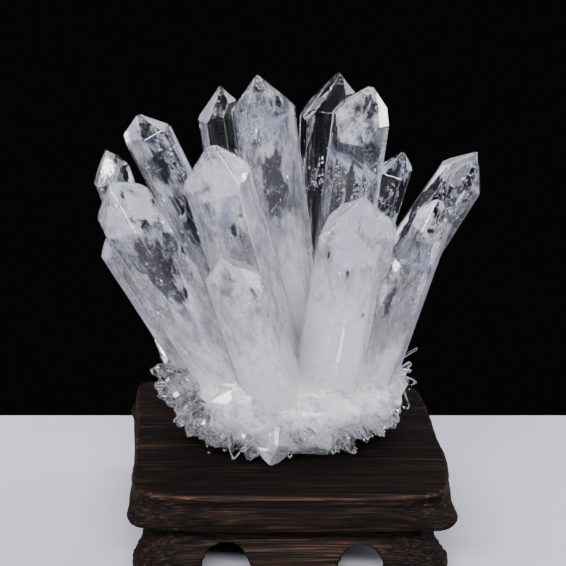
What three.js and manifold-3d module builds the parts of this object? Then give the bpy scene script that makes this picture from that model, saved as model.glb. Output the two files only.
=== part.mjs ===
// A quartz cluster standing on a carved wooden stand.
// Millimetres, +Z up, the front of the cluster towards -Y.
// The cluster grew as one piece: long six-sided crystals fanning out of a lumpy
// crust with a fringe of small points. The stand is carved from one block.

import * as THREE from "three";
import { mergeVertices } from "three/addons/utils/BufferGeometryUtils.js";
import Module from "manifold-3d";

const wasm = await Module();
wasm.setup();

// ---------------------------------------------------------------- dimensions

// The stand, measured from the table.
const STAND_HEIGHT = 42;
// The edge of its top seen from above, anticlockwise from the front left. It was
// cut by hand, so the right side bows out and the corners all differ.
const STAND_EDGE = [
  [-52, -42.5], [-32, -44.5], [0, -45], [30, -44.5], [50, -43.5],
  [59, -40], [62, -31], [62.3, -14], [60, 0], [58.5, 16], [56.5, 30],
  [53, 41], [45, 44.5], [0, 45.5], [-52, 45.5],
  [-62, 44.5], [-63.5, 38], [-61.5, 10], [-60.5, -14], [-60.5, -31], [-58, -39],
];
const EDGE_STEPS = 60; // points round the edge
// Where the lip swells into an ear, how far round it reaches and how strongly.
const EARS = [
  { at: [60, -40], reach: 24, strength: 1.5 },
  { at: [-60, -40], reach: 20, strength: 0.9 },
  { at: [-60, 43], reach: 20, strength: 1 },
  { at: [54, 42], reach: 20, strength: 1 },
];
// The carved profile from the table up: height, how far the side stands out all
// round, and how far it stands out again at a full ear.
const STAND_PROFILE = [
  [0, 0.4, 0.2],
  [5, 1, 0.2],
  [9.5, 0.8, -0.2],
  [13, -0.6, -1.8],
  [16.5, -3.8, -3],
  [19.5, -6, -3],
  [23, -6, -2.2],
  [25, -3.6, -0.8],
  [26.2, 0.4, 2.4],
  [29, 1.2, 3],
  [32.5, 0.7, 1.6],
  [37, -0.9, -0.4],
  [40.6, -0.1, 0],
  [STAND_HEIGHT, -1.3, 0],
];
const CAVITY_HALF = [47, 29]; // half width and half depth of the hollow underneath
const CAVITY_HEIGHT = 13;
// The openings cut through the skirt: two arches from front to back, and a wide
// one from side to side that leaves a foot at each corner.
const OPENINGS = [
  { offset: -24, width: 19, top: 18, round: 9.4, alongX: false },
  { offset: 28, width: 18, top: 17, round: 8.9, alongX: false },
  { offset: 0, width: 66, top: 15.5, round: 8, alongX: true },
];
const ROUND_SIDES = 10; // flats in each quarter circle of an opening

// Quartz: the end faces stand 38.2 degrees off the crystal's long axis.
const END_FACE_ANGLE = THREE.MathUtils.degToRad(38.2);

// The large crystals. foot and tip are the two ends of the long axis, across is
// the width over two opposite side faces, turn rotates the six faces about the
// axis in degrees from the one that faces the front, and widths makes some side
// faces stand further out. cuts says how far below the tip each end face meets
// the axis, which makes that face larger. Faces count anticlockwise from above.
const CRYSTALS = {
  front_left: {
    foot: [-17, -3, 60], tip: [-64, -37, 168.5], across: 20.5,
    turn: -16, cuts: [5, 6, 2, 0, 2, 4], taper: 1.2,
  },
  front_left_twin: {
    foot: [-35, 4, 64], tip: [-67, -21, 139], across: 9,
    turn: 20, cuts: [3, 2, 1, 0, 1, 2], taper: 1,
  },
  far_left: {
    foot: [-36, 3, 56], tip: [-71, 16, 161], across: 14.5,
    turn: -14, cuts: [5, 1, 2, 0, 1, 5], taper: 0.95,
  },
  upper_left: {
    foot: [-2, 0, 58], tip: [-57, 1, 183], across: 15.5,
    turn: 25, cuts: [2.5, 3.5, 6, 7, 0, 2], taper: 1,
  },
  centre_left: {
    foot: [-1, -5, 58], tip: [-29, -32, 182], across: 21.5,
    turn: 4, cuts: [6, 3, 1, 3, 3, 4], taper: 0.95,
  },
  front_centre: {
    foot: [-1, -10, 54], tip: [-21.5, -50, 147], across: 18.5,
    turn: 8, cuts: [9, 8, 8, 2, 0.5, 0.5], taper: 1.2,
  },
  tall_centre: {
    foot: [5.5, 0, 58], tip: [-11, 2, 195], across: 19.5,
    turn: 4, cuts: [3, 3, 2, 0, 1, 1], taper: 1.05,
  },
  behind_centre: {
    foot: [-10, 6, 56], tip: [-28.5, 24, 183.5], across: 14,
    turn: -10, cuts: [4, 0, 0, 1, 4, 6], taper: 1.05,
  },
  tall_right_rear: {
    foot: [12, 8, 54], tip: [15.5, 26, 190.5], across: 19,
    turn: -18, cuts: [6, 0, 0, 1, 5, 10], taper: 1,
  },
  tall_right: {
    foot: [13, 2, 55], tip: [29, 6, 192], across: 18.5,
    turn: -16, cuts: [12, 6, 1, 0, 3, 4], taper: 1.05,
  },
  small_right_rear: {
    foot: [14, 8, 54], tip: [44, 30, 155], across: 12,
    turn: -8, cuts: [5, 1, 0, 1, 3, 5], taper: 1,
  },
  far_right: {
    foot: [11, 1, 60], tip: [72, 8, 163], across: 17.5,
    turn: 16, cuts: [3, 3, 1, 0, 3, 5], taper: 1.3,
  },
  front_right: {
    foot: [30, -2, 58], tip: [55, -26, 157], across: 13,
    turn: 10, cuts: [7, 3, 1, 0, 1, 5], taper: 1.3,
  },
  centre_right: {
    foot: [14.5, -5, 60], tip: [25, -38, 164], across: 22,
    turn: 13, cuts: [11.5, 4, 0, 1, 6.5, 6], taper: 1.2,
  },
  centre_right_twin: {
    foot: [26, -3, 59], tip: [34, -35, 155.5], across: 10,
    turn: 24, cuts: [4, 2, 1, 0, 1, 3], taper: 1.15,
  },
  low_right: {
    foot: [29, -2, 60], tip: [38, -30, 135.5], across: 9.5,
    turn: 6, cuts: [4, 2, 1, 0, 2, 4], taper: 1.3,
  },
  rear_left: {
    foot: [-16, 10, 56], tip: [-46, 44, 138], across: 17,
    turn: 12, cuts: [2, 3, 8, 10, 4, 1], taper: 1.05,
  },
  rear_centre: {
    foot: [-3, 14, 56], tip: [-10, 50, 150], across: 18,
    turn: -6, cuts: [0, 3, 7, 12, 5, 2], taper: 1.1,
  },
  rear_right: {
    foot: [14, 12, 56], tip: [30, 48, 128], across: 16,
    turn: 20, cuts: [0, 2, 9, 8, 3, 1], taper: 1.1,
  },
  rear_low_left: {
    foot: [-22, 14, 56], tip: [-30, 50, 100], across: 12,
    turn: 0, cuts: [1, 2, 6, 5, 2, 0], taper: 1.1,
  },
  rear_low_centre: {
    foot: [6, 16, 56], tip: [10, 54, 104], across: 13,
    turn: 16, cuts: [0, 2, 5, 6, 3, 1], taper: 1.1,
  },
  side_right: {
    foot: [22, 8, 56], tip: [56, 28, 112], across: 12,
    turn: 8, cuts: [2, 1, 4, 3, 2, 1], taper: 1.1,
  },
  side_left: {
    foot: [-24, 8, 56], tip: [-54, 26, 104], across: 11,
    turn: -6, cuts: [1, 2, 3, 4, 2, 1], taper: 1.1,
  },
};

// The crust that they all grow from: a lumpy bowl, cut flat where it rests.
const CRUST = { centre: [-1, 1, 67], radii: [47, 33, 28], lump: 0.06, detail: 5 };

// The short blunt crystal that hangs over the crust's front lip.
const FRONT_STUB = {
  foot: [-4, -14, 60], tip: [-7, -29, 43.5], across: 13,
  turn: 10, cuts: [3, 0, 2, 1, 0, 4], taper: 1.4,
};

// The fringe of small points: rows round the crust, each at a height, with a
// droop below level, a count, a length and a thickness. The upper rows leave the
// front bare, where the large crystals run down into the crust.
const FRINGE = [
  { height: 49, droop: 34, count: 18, length: 6, thickness: 2.2 },
  { height: 55, droop: 20, count: 24, length: 6, thickness: 2.4 },
  { height: 62, droop: 4, count: 26, length: 4.5, thickness: 2.6, bareFront: true },
  { height: 69, droop: -10, count: 28, length: 4.5, thickness: 3, bareFront: true },
  { height: 76, droop: -30, count: 26, length: 5, thickness: 3.6, bareFront: true },
];

// The blunt blocks of the crust's front and sides, in the same terms: stubs of
// milky crystals, of which only the ends stand out.
const BLOCKS = [
  { height: 50, droop: 42, count: 13, length: 5.5, thickness: 10 },
  { height: 59, droop: 12, count: 9, length: 4, thickness: 14 },
  { height: 70, droop: -38, count: 9, length: 4.5, thickness: 13 },
];
const BLOCK_ARC = [178, 362]; // degrees round the crust that the blocks cover
const BLOCK_SINK = 12;
const FRINGE_SINK = 7; // how much of each small point lies inside the crust
const BARE_ARC = [200, 340]; // degrees round the crust that the upper rows skip

// --------------------------------------------------------------- solid tools

function solidOf(geometry) {
  const bare = geometry.clone();
  bare.deleteAttribute("normal");
  bare.deleteAttribute("uv");
  const merged = mergeVertices(bare, 1e-4);
  return new wasm.Manifold(
    new wasm.Mesh({
      numProp: 3,
      vertProperties: new Float32Array(merged.attributes.position.array),
      triVerts: new Uint32Array(merged.index.array),
    }),
  );
}

function geometryOf(solid) {
  const mesh = solid.getMesh();
  const geometry = new THREE.BufferGeometry();
  const places = new Float32Array(mesh.vertProperties);
  geometry.setAttribute("position", new THREE.BufferAttribute(places, 3));
  geometry.setIndex(new THREE.BufferAttribute(new Uint32Array(mesh.triVerts), 1));
  geometry.computeVertexNormals();
  return geometry;
}

// Keeps what lies below the plane whose outward normal and point are given.
function keepBelow(solid, normal, point) {
  const n = normal.clone().normalize();
  return solid.trimByPlane([-n.x, -n.y, -n.z], -n.dot(point));
}

// A repeatable stand-in for chance, from 0 to 1, so that every build is alike.
function chance(seed) {
  const value = Math.sin(seed * 127.1 + 311.7) * 43758.5453;
  return value - Math.floor(value);
}

// -------------------------------------------------------------------- quartz

// One crystal: a block cut by six side faces and six end faces.
function crystalSolid({ foot, tip, across, turn, cuts, taper }) {
  const start = new THREE.Vector3(...foot);
  const end = new THREE.Vector3(...tip);
  const axis = end.clone().sub(start);
  const length = axis.length();
  axis.normalize();
  // The direction square to the axis that faces the front, where the count starts.
  const front = new THREE.Vector3(0, -1, 0).addScaledVector(axis, axis.y).normalize();

  const block = new THREE.BoxGeometry(across * 4, across * 4, length * 1.5);
  block.translate(0, 0, length * 0.75);
  const pose = new THREE.Matrix4().makeBasis(
    new THREE.Vector3().crossVectors(front, axis), front, axis);
  pose.setPosition(start);
  let solid = solidOf(block.applyMatrix4(pose));

  const lean = Math.atan(((taper - 1) * across) / 2 / length);
  for (let face = 0; face < 6; face++) {
    const angle = THREE.MathUtils.degToRad(turn + face * 60);
    const out = front.clone().applyAxisAngle(axis, angle);
    const reach = (across / 2) * (1 + 0.1 * (chance(length + face * 7) - 0.5));
    const side = out.clone().addScaledVector(axis, Math.tan(lean));
    solid = keepBelow(solid, side, end.clone().addScaledVector(out, reach));
    const cap = out.clone().multiplyScalar(Math.cos(END_FACE_ANGLE));
    cap.addScaledVector(axis, Math.sin(END_FACE_ANGLE));
    solid = keepBelow(solid, cap, end.clone().addScaledVector(axis, -cuts[face]));
  }
  return solid;
}

function lumpAt(direction) {
  const { x, y, z } = direction;
  return (
    Math.sin(7 * x + 2 * y) * Math.cos(6 * y - 3 * z) +
    0.6 * Math.sin(13 * y + 9 * z + 1) * Math.cos(11 * x)
  );
}

function crustReach(direction) {
  return 1 + CRUST.lump * lumpAt(direction);
}

function crustSolid() {
  const ball = new THREE.IcosahedronGeometry(1, CRUST.detail);
  const places = ball.attributes.position;
  const point = new THREE.Vector3();
  for (let i = 0; i < places.count; i++) {
    point.fromBufferAttribute(places, i).normalize();
    point.multiplyScalar(crustReach(point));
    places.setXYZ(i, point.x, point.y, point.z);
  }
  ball.scale(...CRUST.radii);
  ball.translate(...CRUST.centre);
  return solidOf(ball);
}

// One small crystal of a row, rooted inside the crust, at an angle round it.
function rootedCrystal(row, seed, angle, sink) {
  const height = row.height + 4 * (chance(seed + 0.3) - 0.5);
  const [cx, cy, cz] = CRUST.centre;
  const [rx, ry, rz] = CRUST.radii;
  const level = Math.sqrt(1 - ((height - cz) / rz) ** 2);
  const root = new THREE.Vector3(
    cx + rx * level * Math.cos(angle), cy + ry * level * Math.sin(angle), height);
  const droop = THREE.MathUtils.degToRad(row.droop + 30 * (chance(seed + 0.6) - 0.5));
  const swing = angle + 0.6 * (chance(seed + 0.9) - 0.5);
  const way = new THREE.Vector3(
    Math.cos(swing) * Math.cos(droop), Math.sin(swing) * Math.cos(droop), -Math.sin(droop));
  const length = row.length * (0.6 + 0.7 * chance(seed + 0.2));
  const foot = root.clone().addScaledVector(way, -sink);
  const tip = root.clone().addScaledVector(way, length);
  tip.z = Math.max(tip.z, STAND_HEIGHT + 2);
  return {
    foot: foot.toArray(), tip: tip.toArray(),
    across: row.thickness * (0.7 + 0.6 * chance(seed + 0.5)),
    turn: 60 * chance(seed + 0.1), cuts: [0, 0, 0, 0, 0, 0], taper: 1.15,
  };
}

// One small point of the fringe, or none where its row is bare.
function fringeCrystal(row, index) {
  const seed = row.height * 3 + index;
  const angle = ((index + 0.7 * chance(seed)) / row.count) * 2 * Math.PI;
  const degrees = THREE.MathUtils.radToDeg(angle);
  if (row.bareFront && degrees > BARE_ARC[0] && degrees < BARE_ARC[1]) return [];
  return [rootedCrystal(row, seed, angle, FRINGE_SINK)];
}

// One blunt block, with two of its end faces grown large.
function blockCrystal(row, index) {
  const seed = row.height * 5 + index;
  const share = (index + 0.3 + 0.5 * chance(seed)) / row.count;
  const degrees = BLOCK_ARC[0] + (BLOCK_ARC[1] - BLOCK_ARC[0]) * share;
  const block = rootedCrystal(row, seed, THREE.MathUtils.degToRad(degrees), BLOCK_SINK);
  const cut = row.thickness * 0.3;
  block.cuts = block.cuts.map((_, face) => cut * chance(seed + face * 0.37) ** 2);
  return block;
}

function clusterGeometry() {
  let solid = crustSolid();
  const fringe = FRINGE.flatMap((row) =>
    Array.from({ length: row.count }, (_, index) => fringeCrystal(row, index)).flat());
  const blocks = BLOCKS.flatMap((row) =>
    Array.from({ length: row.count }, (_, index) => blockCrystal(row, index)));
  for (const crystal of [...Object.values(CRYSTALS), FRONT_STUB, ...blocks, ...fringe]) {
    solid = solid.add(crystalSolid(crystal));
  }
  // The flat that it rests on, at the height of the stand's top.
  const down = new THREE.Vector3(0, 0, -1);
  return geometryOf(keepBelow(solid, down, new THREE.Vector3(0, 0, STAND_HEIGHT)));
}

// --------------------------------------------------------------------- stand

// Points round the top's edge, each with its outward direction and how much of
// an ear it belongs to.
function standOutline() {
  const edge = new THREE.CatmullRomCurve3(
    STAND_EDGE.map(([x, y]) => new THREE.Vector3(x, y, 0)), true, "centripetal");
  const points = edge.getSpacedPoints(EDGE_STEPS).slice(0, EDGE_STEPS);
  return points.map((place, i) => {
    const along = points[(i + 1) % EDGE_STEPS]
      .clone().sub(points[(i + EDGE_STEPS - 1) % EDGE_STEPS]).normalize();
    let ear = 0;
    for (const { at, reach, strength } of EARS) {
      const gap = Math.hypot(place.x - at[0], place.y - at[1]);
      ear = Math.max(ear, strength * (1 - THREE.MathUtils.smoothstep(gap, 0, reach)));
    }
    return { place, out: new THREE.Vector2(along.y, -along.x), ear };
  });
}

// Rings of the outline at each height of the profile, joined and closed.
function standBlock() {
  const outline = standOutline();
  const count = outline.length;
  const places = [];
  for (const [height, allRound, atEar] of STAND_PROFILE) {
    for (const { place, out, ear } of outline) {
      const move = allRound + atEar * ear;
      places.push(place.x + out.x * move, place.y + out.y * move, height);
    }
  }
  const top = STAND_PROFILE.length - 1;
  const bottomCentre = places.length / 3;
  places.push(0, 0, 0, 0, 0, STAND_HEIGHT);
  const faces = [];
  for (let i = 0; i < count; i++) {
    const j = (i + 1) % count;
    for (let ring = 0; ring < top; ring++) {
      const low = ring * count;
      const high = low + count;
      faces.push(low + i, low + j, high + j, low + i, high + j, high + i);
    }
    faces.push(bottomCentre, j, i);
    faces.push(bottomCentre + 1, top * count + i, top * count + j);
  }
  const geometry = new THREE.BufferGeometry();
  geometry.setAttribute("position", new THREE.Float32BufferAttribute(places, 3));
  geometry.setIndex(faces);
  return solidOf(geometry);
}

// A tunnel with rounded upper corners, right through the skirt to the table.
function openingCutter({ offset, width, top, round, alongX }) {
  const half = width / 2;
  const shape = new THREE.Shape();
  shape.moveTo(-half, -10);
  shape.lineTo(half, -10);
  shape.absarc(half - round, top - round, round, 0, Math.PI / 2);
  shape.absarc(round - half, top - round, round, Math.PI / 2, Math.PI);
  shape.closePath();
  const tunnel = new THREE.ExtrudeGeometry(
    shape, { depth: 200, bevelEnabled: false, curveSegments: ROUND_SIDES });
  tunnel.translate(0, 0, -100);
  tunnel.rotateX(Math.PI / 2);
  if (alongX) tunnel.rotateZ(Math.PI / 2);
  tunnel.translate(alongX ? 0 : offset, alongX ? offset : 0, 0);
  return solidOf(tunnel);
}

function standGeometry() {
  const cavity = new THREE.BoxGeometry(
    CAVITY_HALF[0] * 2, CAVITY_HALF[1] * 2, CAVITY_HEIGHT * 2);
  let solid = standBlock().subtract(solidOf(cavity));
  for (const opening of OPENINGS) solid = solid.subtract(openingCutter(opening));
  return geometryOf(solid);
}

// ------------------------------------------------------------------ assembly

const quartz = new THREE.MeshStandardMaterial({
  color: 0xdcdde4, roughness: 0.12, metalness: 0, transparent: true, opacity: 0.6,
});
const darkWood = new THREE.MeshStandardMaterial({
  color: 0x2c1a13, roughness: 0.6, metalness: 0,
});

function part(name, geometry, material) {
  const mesh = new THREE.Mesh(geometry, material);
  mesh.name = name;
  return mesh;
}

const model = new THREE.Group();
model.add(part("quartz_cluster", clusterGeometry(), quartz));
model.add(part("wooden_stand", standGeometry(), darkWood));

// The origin is on the table, under the middle of everything.
const middle = new THREE.Box3().setFromObject(model).getCenter(new THREE.Vector3());
model.position.set(-middle.x, -middle.y, 0);

export default model;
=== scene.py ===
# %% [markdown]
# # A quartz cluster on its carved wooden stand
# The object is a natural fan of quartz crystals that has grown out of one lumpy
# crust, resting on a low stand carved from dark wood. The CAD part gives its size
# and place; this file builds the visible meshes and finishes around it.
# Every length in the tables below is in millimetres, as on a drawing, and one
# factor turns it into Blender's metres.

import functools
import math
import random

import bmesh
import bpy
import numpy as np
from mathutils import Matrix, Vector, noise


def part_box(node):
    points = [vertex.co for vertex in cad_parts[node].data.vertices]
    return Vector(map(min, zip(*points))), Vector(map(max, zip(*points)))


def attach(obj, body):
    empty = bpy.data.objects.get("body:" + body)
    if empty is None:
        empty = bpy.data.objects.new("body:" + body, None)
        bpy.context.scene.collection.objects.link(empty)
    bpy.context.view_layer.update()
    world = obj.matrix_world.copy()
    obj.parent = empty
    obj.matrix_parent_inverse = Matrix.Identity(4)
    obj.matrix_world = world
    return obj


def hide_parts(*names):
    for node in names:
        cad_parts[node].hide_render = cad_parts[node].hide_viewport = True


MM = 0.001
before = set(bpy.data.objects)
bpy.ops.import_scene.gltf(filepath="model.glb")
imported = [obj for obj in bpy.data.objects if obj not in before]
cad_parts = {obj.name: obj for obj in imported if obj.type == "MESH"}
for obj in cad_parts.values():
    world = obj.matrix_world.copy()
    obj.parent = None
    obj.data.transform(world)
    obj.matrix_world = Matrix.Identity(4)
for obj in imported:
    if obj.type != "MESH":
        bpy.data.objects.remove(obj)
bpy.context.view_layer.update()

# %% [markdown]
# ## Small helpers
# Colours are written as sRGB hex, as a paint chip or a colour picker gives them,
# and Blender's shaders want linear values, so one function converts them.
# A material is a graph of nodes; one more function adds a node, sets its values
# and links its inputs, so each material below reads as a list of steps. Meshes are
# built with bmesh, Blender's module for editing them, and three functions take
# them from there into the scene.


# %% Colour, node and mesh helpers
def linear(hex_code):
    """An sRGB hex colour as linear red, green, blue and alpha."""
    parts = [int(hex_code[i : i + 2], 16) / 255 for i in (0, 2, 4)]
    return [c / 12.92 if c <= 0.04045 else ((c + 0.055) / 1.055) ** 2.4 for c in parts] + [1.0]


def add_node(tree, kind, inputs=None, **settings):
    """Adds a node, sets its properties, then fills or links its inputs.

    An input is a number, a colour, a socket, or a node that gives its first output."""
    node = tree.nodes.new("ShaderNode" + kind)
    for key, value in settings.items():
        setattr(node, key, value)
    for key, value in (inputs or {}).items():
        if isinstance(value, bpy.types.Node):
            value = value.outputs[0]
        if isinstance(value, bpy.types.NodeSocket):
            tree.links.new(value, node.inputs[key])
        else:
            node.inputs[key].default_value = value
    return node


def new_material(name):
    """An empty material and its tree of nodes."""
    material = bpy.data.materials.new(name)
    material.use_nodes = True
    material.node_tree.nodes.clear()
    return material, material.node_tree


def mesh_of(bm, name):
    """The finished mesh of a bmesh, which is freed."""
    mesh = bpy.data.meshes.new(name)
    bm.to_mesh(mesh)
    bm.free()
    return mesh


def in_scene(name, data):
    """A new object in the scene for a mesh, a lamp or a camera."""
    thing = bpy.data.objects.new(name, data)
    bpy.context.scene.collection.objects.link(thing)
    return thing


def finish_with(thing, material):
    """Gives a whole object one material."""
    thing.data.materials.clear()
    thing.data.materials.append(material)
    print(thing.name, "is finished as", material.name)


print("helpers ready")

# %% [markdown]
# ## Where the part stands
# The tables are written from the middle of the stand's underside. The CAD part
# has its origin under the middle of its whole box instead, so everything moves by
# the same small step. The stand's own outline, worked out below, is compared
# with the CAD stand's box to find that step.


# %% The stand's outline
STAND_HEIGHT = 42
# the top's edge, seen from above
STAND_EDGE = [
    (-52, -42.5), (-32, -44.5), (0, -45), (30, -44.5), (50, -43.5),
    (59, -40), (62, -31), (62.3, -14), (60, 0), (58.5, 16), (56.5, 30),
    (53, 41), (45, 44.5), (0, 45.5), (-52, 45.5),
    (-62, 44.5), (-63.5, 38), (-61.5, 10), (-60.5, -14), (-60.5, -31), (-58, -39),
]
# the corner of each ear, how far round it reaches, how strong it is
EARS = [((60, -40), 24, 1.5), ((-60, -40), 20, 0.9), ((-60, 43), 20, 1), ((54, 42), 20, 1)]
# height, stands out all round, stands out again at a full ear
STAND_PROFILE = [
    (0, 0.4, 0.2), (5, 1, 0.2), (9.5, 0.8, -0.2), (13, -0.6, -1.8), (16.5, -3.8, -3),
    (19.5, -6, -3), (23, -6, -2.2), (25, -3.6, -0.8), (26.2, 0.4, 2.4), (29, 1.2, 3),
    (32.5, 0.7, 1.6), (33.8, 0.2, -0.3), (37, -0.9, -0.4), (40.6, -0.1, 0), (STAND_HEIGHT, -1.3, 0),
]
CURVE_STEPS = 24  # between two points of the outline


def closed_curve(points, count):
    """A smooth closed curve through the points, as evenly spaced points.

    Each stretch is a Catmull-Rom curve whose knots are spaced by the root of the
    distance, which keeps it from looping where points are close together."""
    dense = []
    total = len(points)
    for i in range(total):
        p0, p1, p2, p3 = (Vector(points[(i + k - 1) % total]) for k in range(4))
        t1 = (p1 - p0).length ** 0.5
        t2 = t1 + (p2 - p1).length ** 0.5
        t3 = t2 + (p3 - p2).length ** 0.5
        for step in range(CURVE_STEPS):
            t = t1 + (t2 - t1) * step / CURVE_STEPS
            a1 = p0.lerp(p1, t / t1)
            a2 = p1.lerp(p2, (t - t1) / (t2 - t1))
            a3 = p2.lerp(p3, (t - t2) / (t3 - t2))
            b1 = a1.lerp(a2, t / t2)
            b2 = a2.lerp(a3, (t - t1) / (t3 - t1))
            dense.append(b1.lerp(b2, (t - t1) / (t2 - t1)))
    dense.append(dense[0])
    places = np.array(dense)
    run = np.concatenate([[0], np.cumsum(np.linalg.norm(np.diff(places, axis=0), axis=1))])
    want = np.linspace(0, run[-1], count, endpoint=False)
    return np.stack([np.interp(want, run, places[:, k]) for k in (0, 1)], axis=1)


def stand_outline(count, crisp=1.0):
    """Points round the top's edge, their outward directions and their share of an ear.

    A crisp of less than 1 narrows the ears."""
    edge = closed_curve(STAND_EDGE, count)
    along = np.roll(edge, -1, axis=0) - np.roll(edge, 1, axis=0)
    along /= np.linalg.norm(along, axis=1)[:, None]
    out = np.stack([along[:, 1], -along[:, 0]], axis=1)
    ear = np.zeros(count)
    for at, reach, strength in EARS:
        gap = np.clip(np.linalg.norm(edge - np.array(at), axis=1) / (reach * crisp), 0, 1)
        ear = np.maximum(ear, strength * (1 - gap * gap * (3 - 2 * gap)))
    return edge, out, ear


CAD_OUTLINE_POINTS = 60  # round the CAD stand, whose widest ring is compared with its box
edge, out, ear = stand_outline(CAD_OUTLINE_POINTS)
rings = np.concatenate([edge + out * (r + e * ear)[:, None] for _, r, e in STAND_PROFILE])
low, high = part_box("wooden_stand")
SHIFT = Vector((
    (low.x + high.x) / 2 - (rings[:, 0].min() + rings[:, 0].max()) / 2 * MM,
    (low.y + high.y) / 2 - (rings[:, 1].min() + rings[:, 1].max()) / 2 * MM,
    0,
))
TO_PART = Matrix.Translation(SHIFT) @ Matrix.Scale(MM, 4)
print("step from the stand's middle to the part's origin, mm:", [round(v / MM, 2) for v in SHIFT])

# %% [markdown]
# ## The camera
# The object is looked at from a little above and from straight ahead, through a
# long lens, which keeps the crystals' sizes true to each other from front to back.

# %% Camera
CAMERA_TARGET = Vector((-2, 4, 108))
CAMERA_DISTANCE = 680
CAMERA_ELEVATION = math.radians(26)
CAMERA_LENS = 112.3
camera = in_scene("camera", bpy.data.cameras.new("camera"))
camera.data.sensor_width = 36
camera.data.lens = CAMERA_LENS
camera.data.clip_start = 0.01  # metres
backward = Vector((0, -math.cos(CAMERA_ELEVATION), math.sin(CAMERA_ELEVATION)))
camera.location = (CAMERA_TARGET + backward * CAMERA_DISTANCE) * MM + SHIFT
camera.rotation_euler = (math.pi / 2 - CAMERA_ELEVATION, 0, 0)
bpy.context.scene.camera = camera
print("camera at", [round(v, 4) for v in camera.location])

# %% [markdown]
# ## The crystals
# Quartz grows as a six-sided prism closed by six sloping faces that stand
# 38.2 degrees off the long axis. The faces grow at different speeds, so a real
# end is rarely a neat pyramid: one face takes over, others shrink to slivers.
# Each crystal here is the space left inside thirteen planes: six sides, six end
# faces and a foot. That gives true flat faces and sharp edges, as cutting by hand
# in a modeller would, but from a few sizes that can be compared with the object.

# %% Sizes of the crystals
END_FACE_ANGLE = math.radians(38.2)
# foot, tip, width over opposite sides, turn, how deep each end face cuts, taper
CRYSTALS = {
    "front_left": ((-17, -3, 60), (-64, -37, 168.5), 20.5, -16, (5, 6, 2, 0, 2, 4), 1.2),
    "front_left_twin": ((-35, 4, 64), (-67, -21, 139), 9, 20, (3, 2, 1, 0, 1, 2), 1),
    "far_left": ((-36, 3, 56), (-71, 16, 161), 14.5, -14, (5, 1, 2, 0, 1, 5), 0.95),
    "upper_left": ((-2, 0, 58), (-57, 1, 183), 15.5, 25, (2.5, 3.5, 6, 7, 0, 2), 1),
    "centre_left": ((-1, -5, 58), (-29, -32, 182), 21.5, 4, (6, 3, 1, 3, 3, 4), 0.95),
    "front_centre": ((-1, -10, 54), (-21.5, -50, 147), 18.5, 8, (9, 8, 8, 2, 0.5, 0.5), 1.2),
    "tall_centre": ((5.5, 0, 58), (-11, 2, 195), 19.5, 4, (3, 3, 2, 0, 1, 1), 1.05),
    "behind_centre": ((-10, 6, 56), (-28.5, 24, 183.5), 14, -10, (4, 0, 0, 1, 4, 6), 1.05),
    "tall_right_rear": ((12, 8, 54), (15.5, 26, 190.5), 19, -18, (6, 0, 0, 1, 5, 10), 1),
    "tall_right": ((13, 2, 55), (29, 6, 192), 18.5, -16, (12, 6, 1, 0, 3, 4), 1.05),
    "small_right_rear": ((14, 8, 54), (44, 30, 155), 12, -8, (5, 1, 0, 1, 3, 5), 1),
    "far_right": ((11, 1, 60), (72, 8, 163), 17.5, 16, (3, 3, 1, 0, 3, 5), 1.3),
    "front_right": ((30, -2, 58), (55, -26, 157), 13, 10, (7, 3, 1, 0, 1, 5), 1.3),
    "centre_right": ((14.5, -5, 60), (25, -38, 164), 22, 13, (11.5, 4, 0, 1, 6.5, 6), 1.2),
    "centre_right_twin": ((26, -3, 59), (34, -35, 155.5), 10, 24, (4, 2, 1, 0, 1, 3), 1.15),
    "low_right": ((29, -2, 60), (38, -30, 135.5), 9.5, 6, (4, 2, 1, 0, 2, 4), 1.3),
    "rear_left": ((-16, 10, 56), (-46, 44, 138), 17, 12, (2, 3, 8, 10, 4, 1), 1.05),
    "rear_centre": ((-3, 14, 56), (-10, 50, 150), 18, -6, (0, 3, 7, 12, 5, 2), 1.1),
    "rear_right": ((14, 12, 56), (30, 48, 128), 16, 20, (0, 2, 9, 8, 3, 1), 1.1),
    "rear_low_left": ((-22, 14, 56), (-30, 50, 100), 12, 0, (1, 2, 6, 5, 2, 0), 1.1),
    "rear_low_centre": ((6, 16, 56), (10, 54, 104), 13, 16, (0, 2, 5, 6, 3, 1), 1.1),
    "side_right": ((22, 8, 56), (56, 28, 112), 12, 8, (2, 1, 4, 3, 2, 1), 1.1),
    "side_left": ((-24, 8, 56), (-54, 26, 104), 11, -6, (1, 2, 3, 4, 2, 1), 1.1),
    # the wedge over the crust's front lip is also flattened, to 0.4 of its width
    "front_wedge": ((-4, -14, 60), (-7, -30, 43.5), 13, 10, (3, 0, 2, 1, 0, 4), 1.4, 0.4),
}
print(len(CRYSTALS), "large crystals")

# %% [markdown]
# The CAD part sizes its side faces with a repeatable stand-in for chance, and the
# same formula here gives the same crystals.


# %% One crystal as the space inside its planes
def chance(seed):
    """A number from 0 to 1 that looks random and is the same for the same seed."""
    value = math.sin(seed * 127.1 + 311.7) * 43758.5453
    return value - math.floor(value)


def crystal_planes(foot, tip, across, turn, cuts, taper, flat=1.0):
    """(outward normal, distance) of each plane, in millimetres.

    A flat of less than 1 brings one pair of sides closer, for a plate."""
    start, end = Vector(foot), Vector(tip)
    axis = end - start
    length = axis.length
    axis.normalize()
    front = (Vector((0, -1, 0)) + axis * axis.y).normalized()
    lean = math.atan((taper - 1) * across / 2 / length)
    planes = [(-axis, -axis.dot(start))]
    for face in range(6):
        way = Matrix.Rotation(math.radians(turn + face * 60), 3, axis) @ front
        reach = across / 2 * (1 + 0.1 * (chance(length + face * 7) - 0.5))
        if face % 3 == 0:
            reach *= flat
        side = (way + axis * math.tan(lean)).normalized()
        planes.append((side, side.dot(end + way * reach)))
        cap = way * math.cos(END_FACE_ANGLE) + axis * math.sin(END_FACE_ANGLE)
        planes.append((cap, cap.dot(end - axis * cuts[face])))
    return planes, axis


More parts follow.
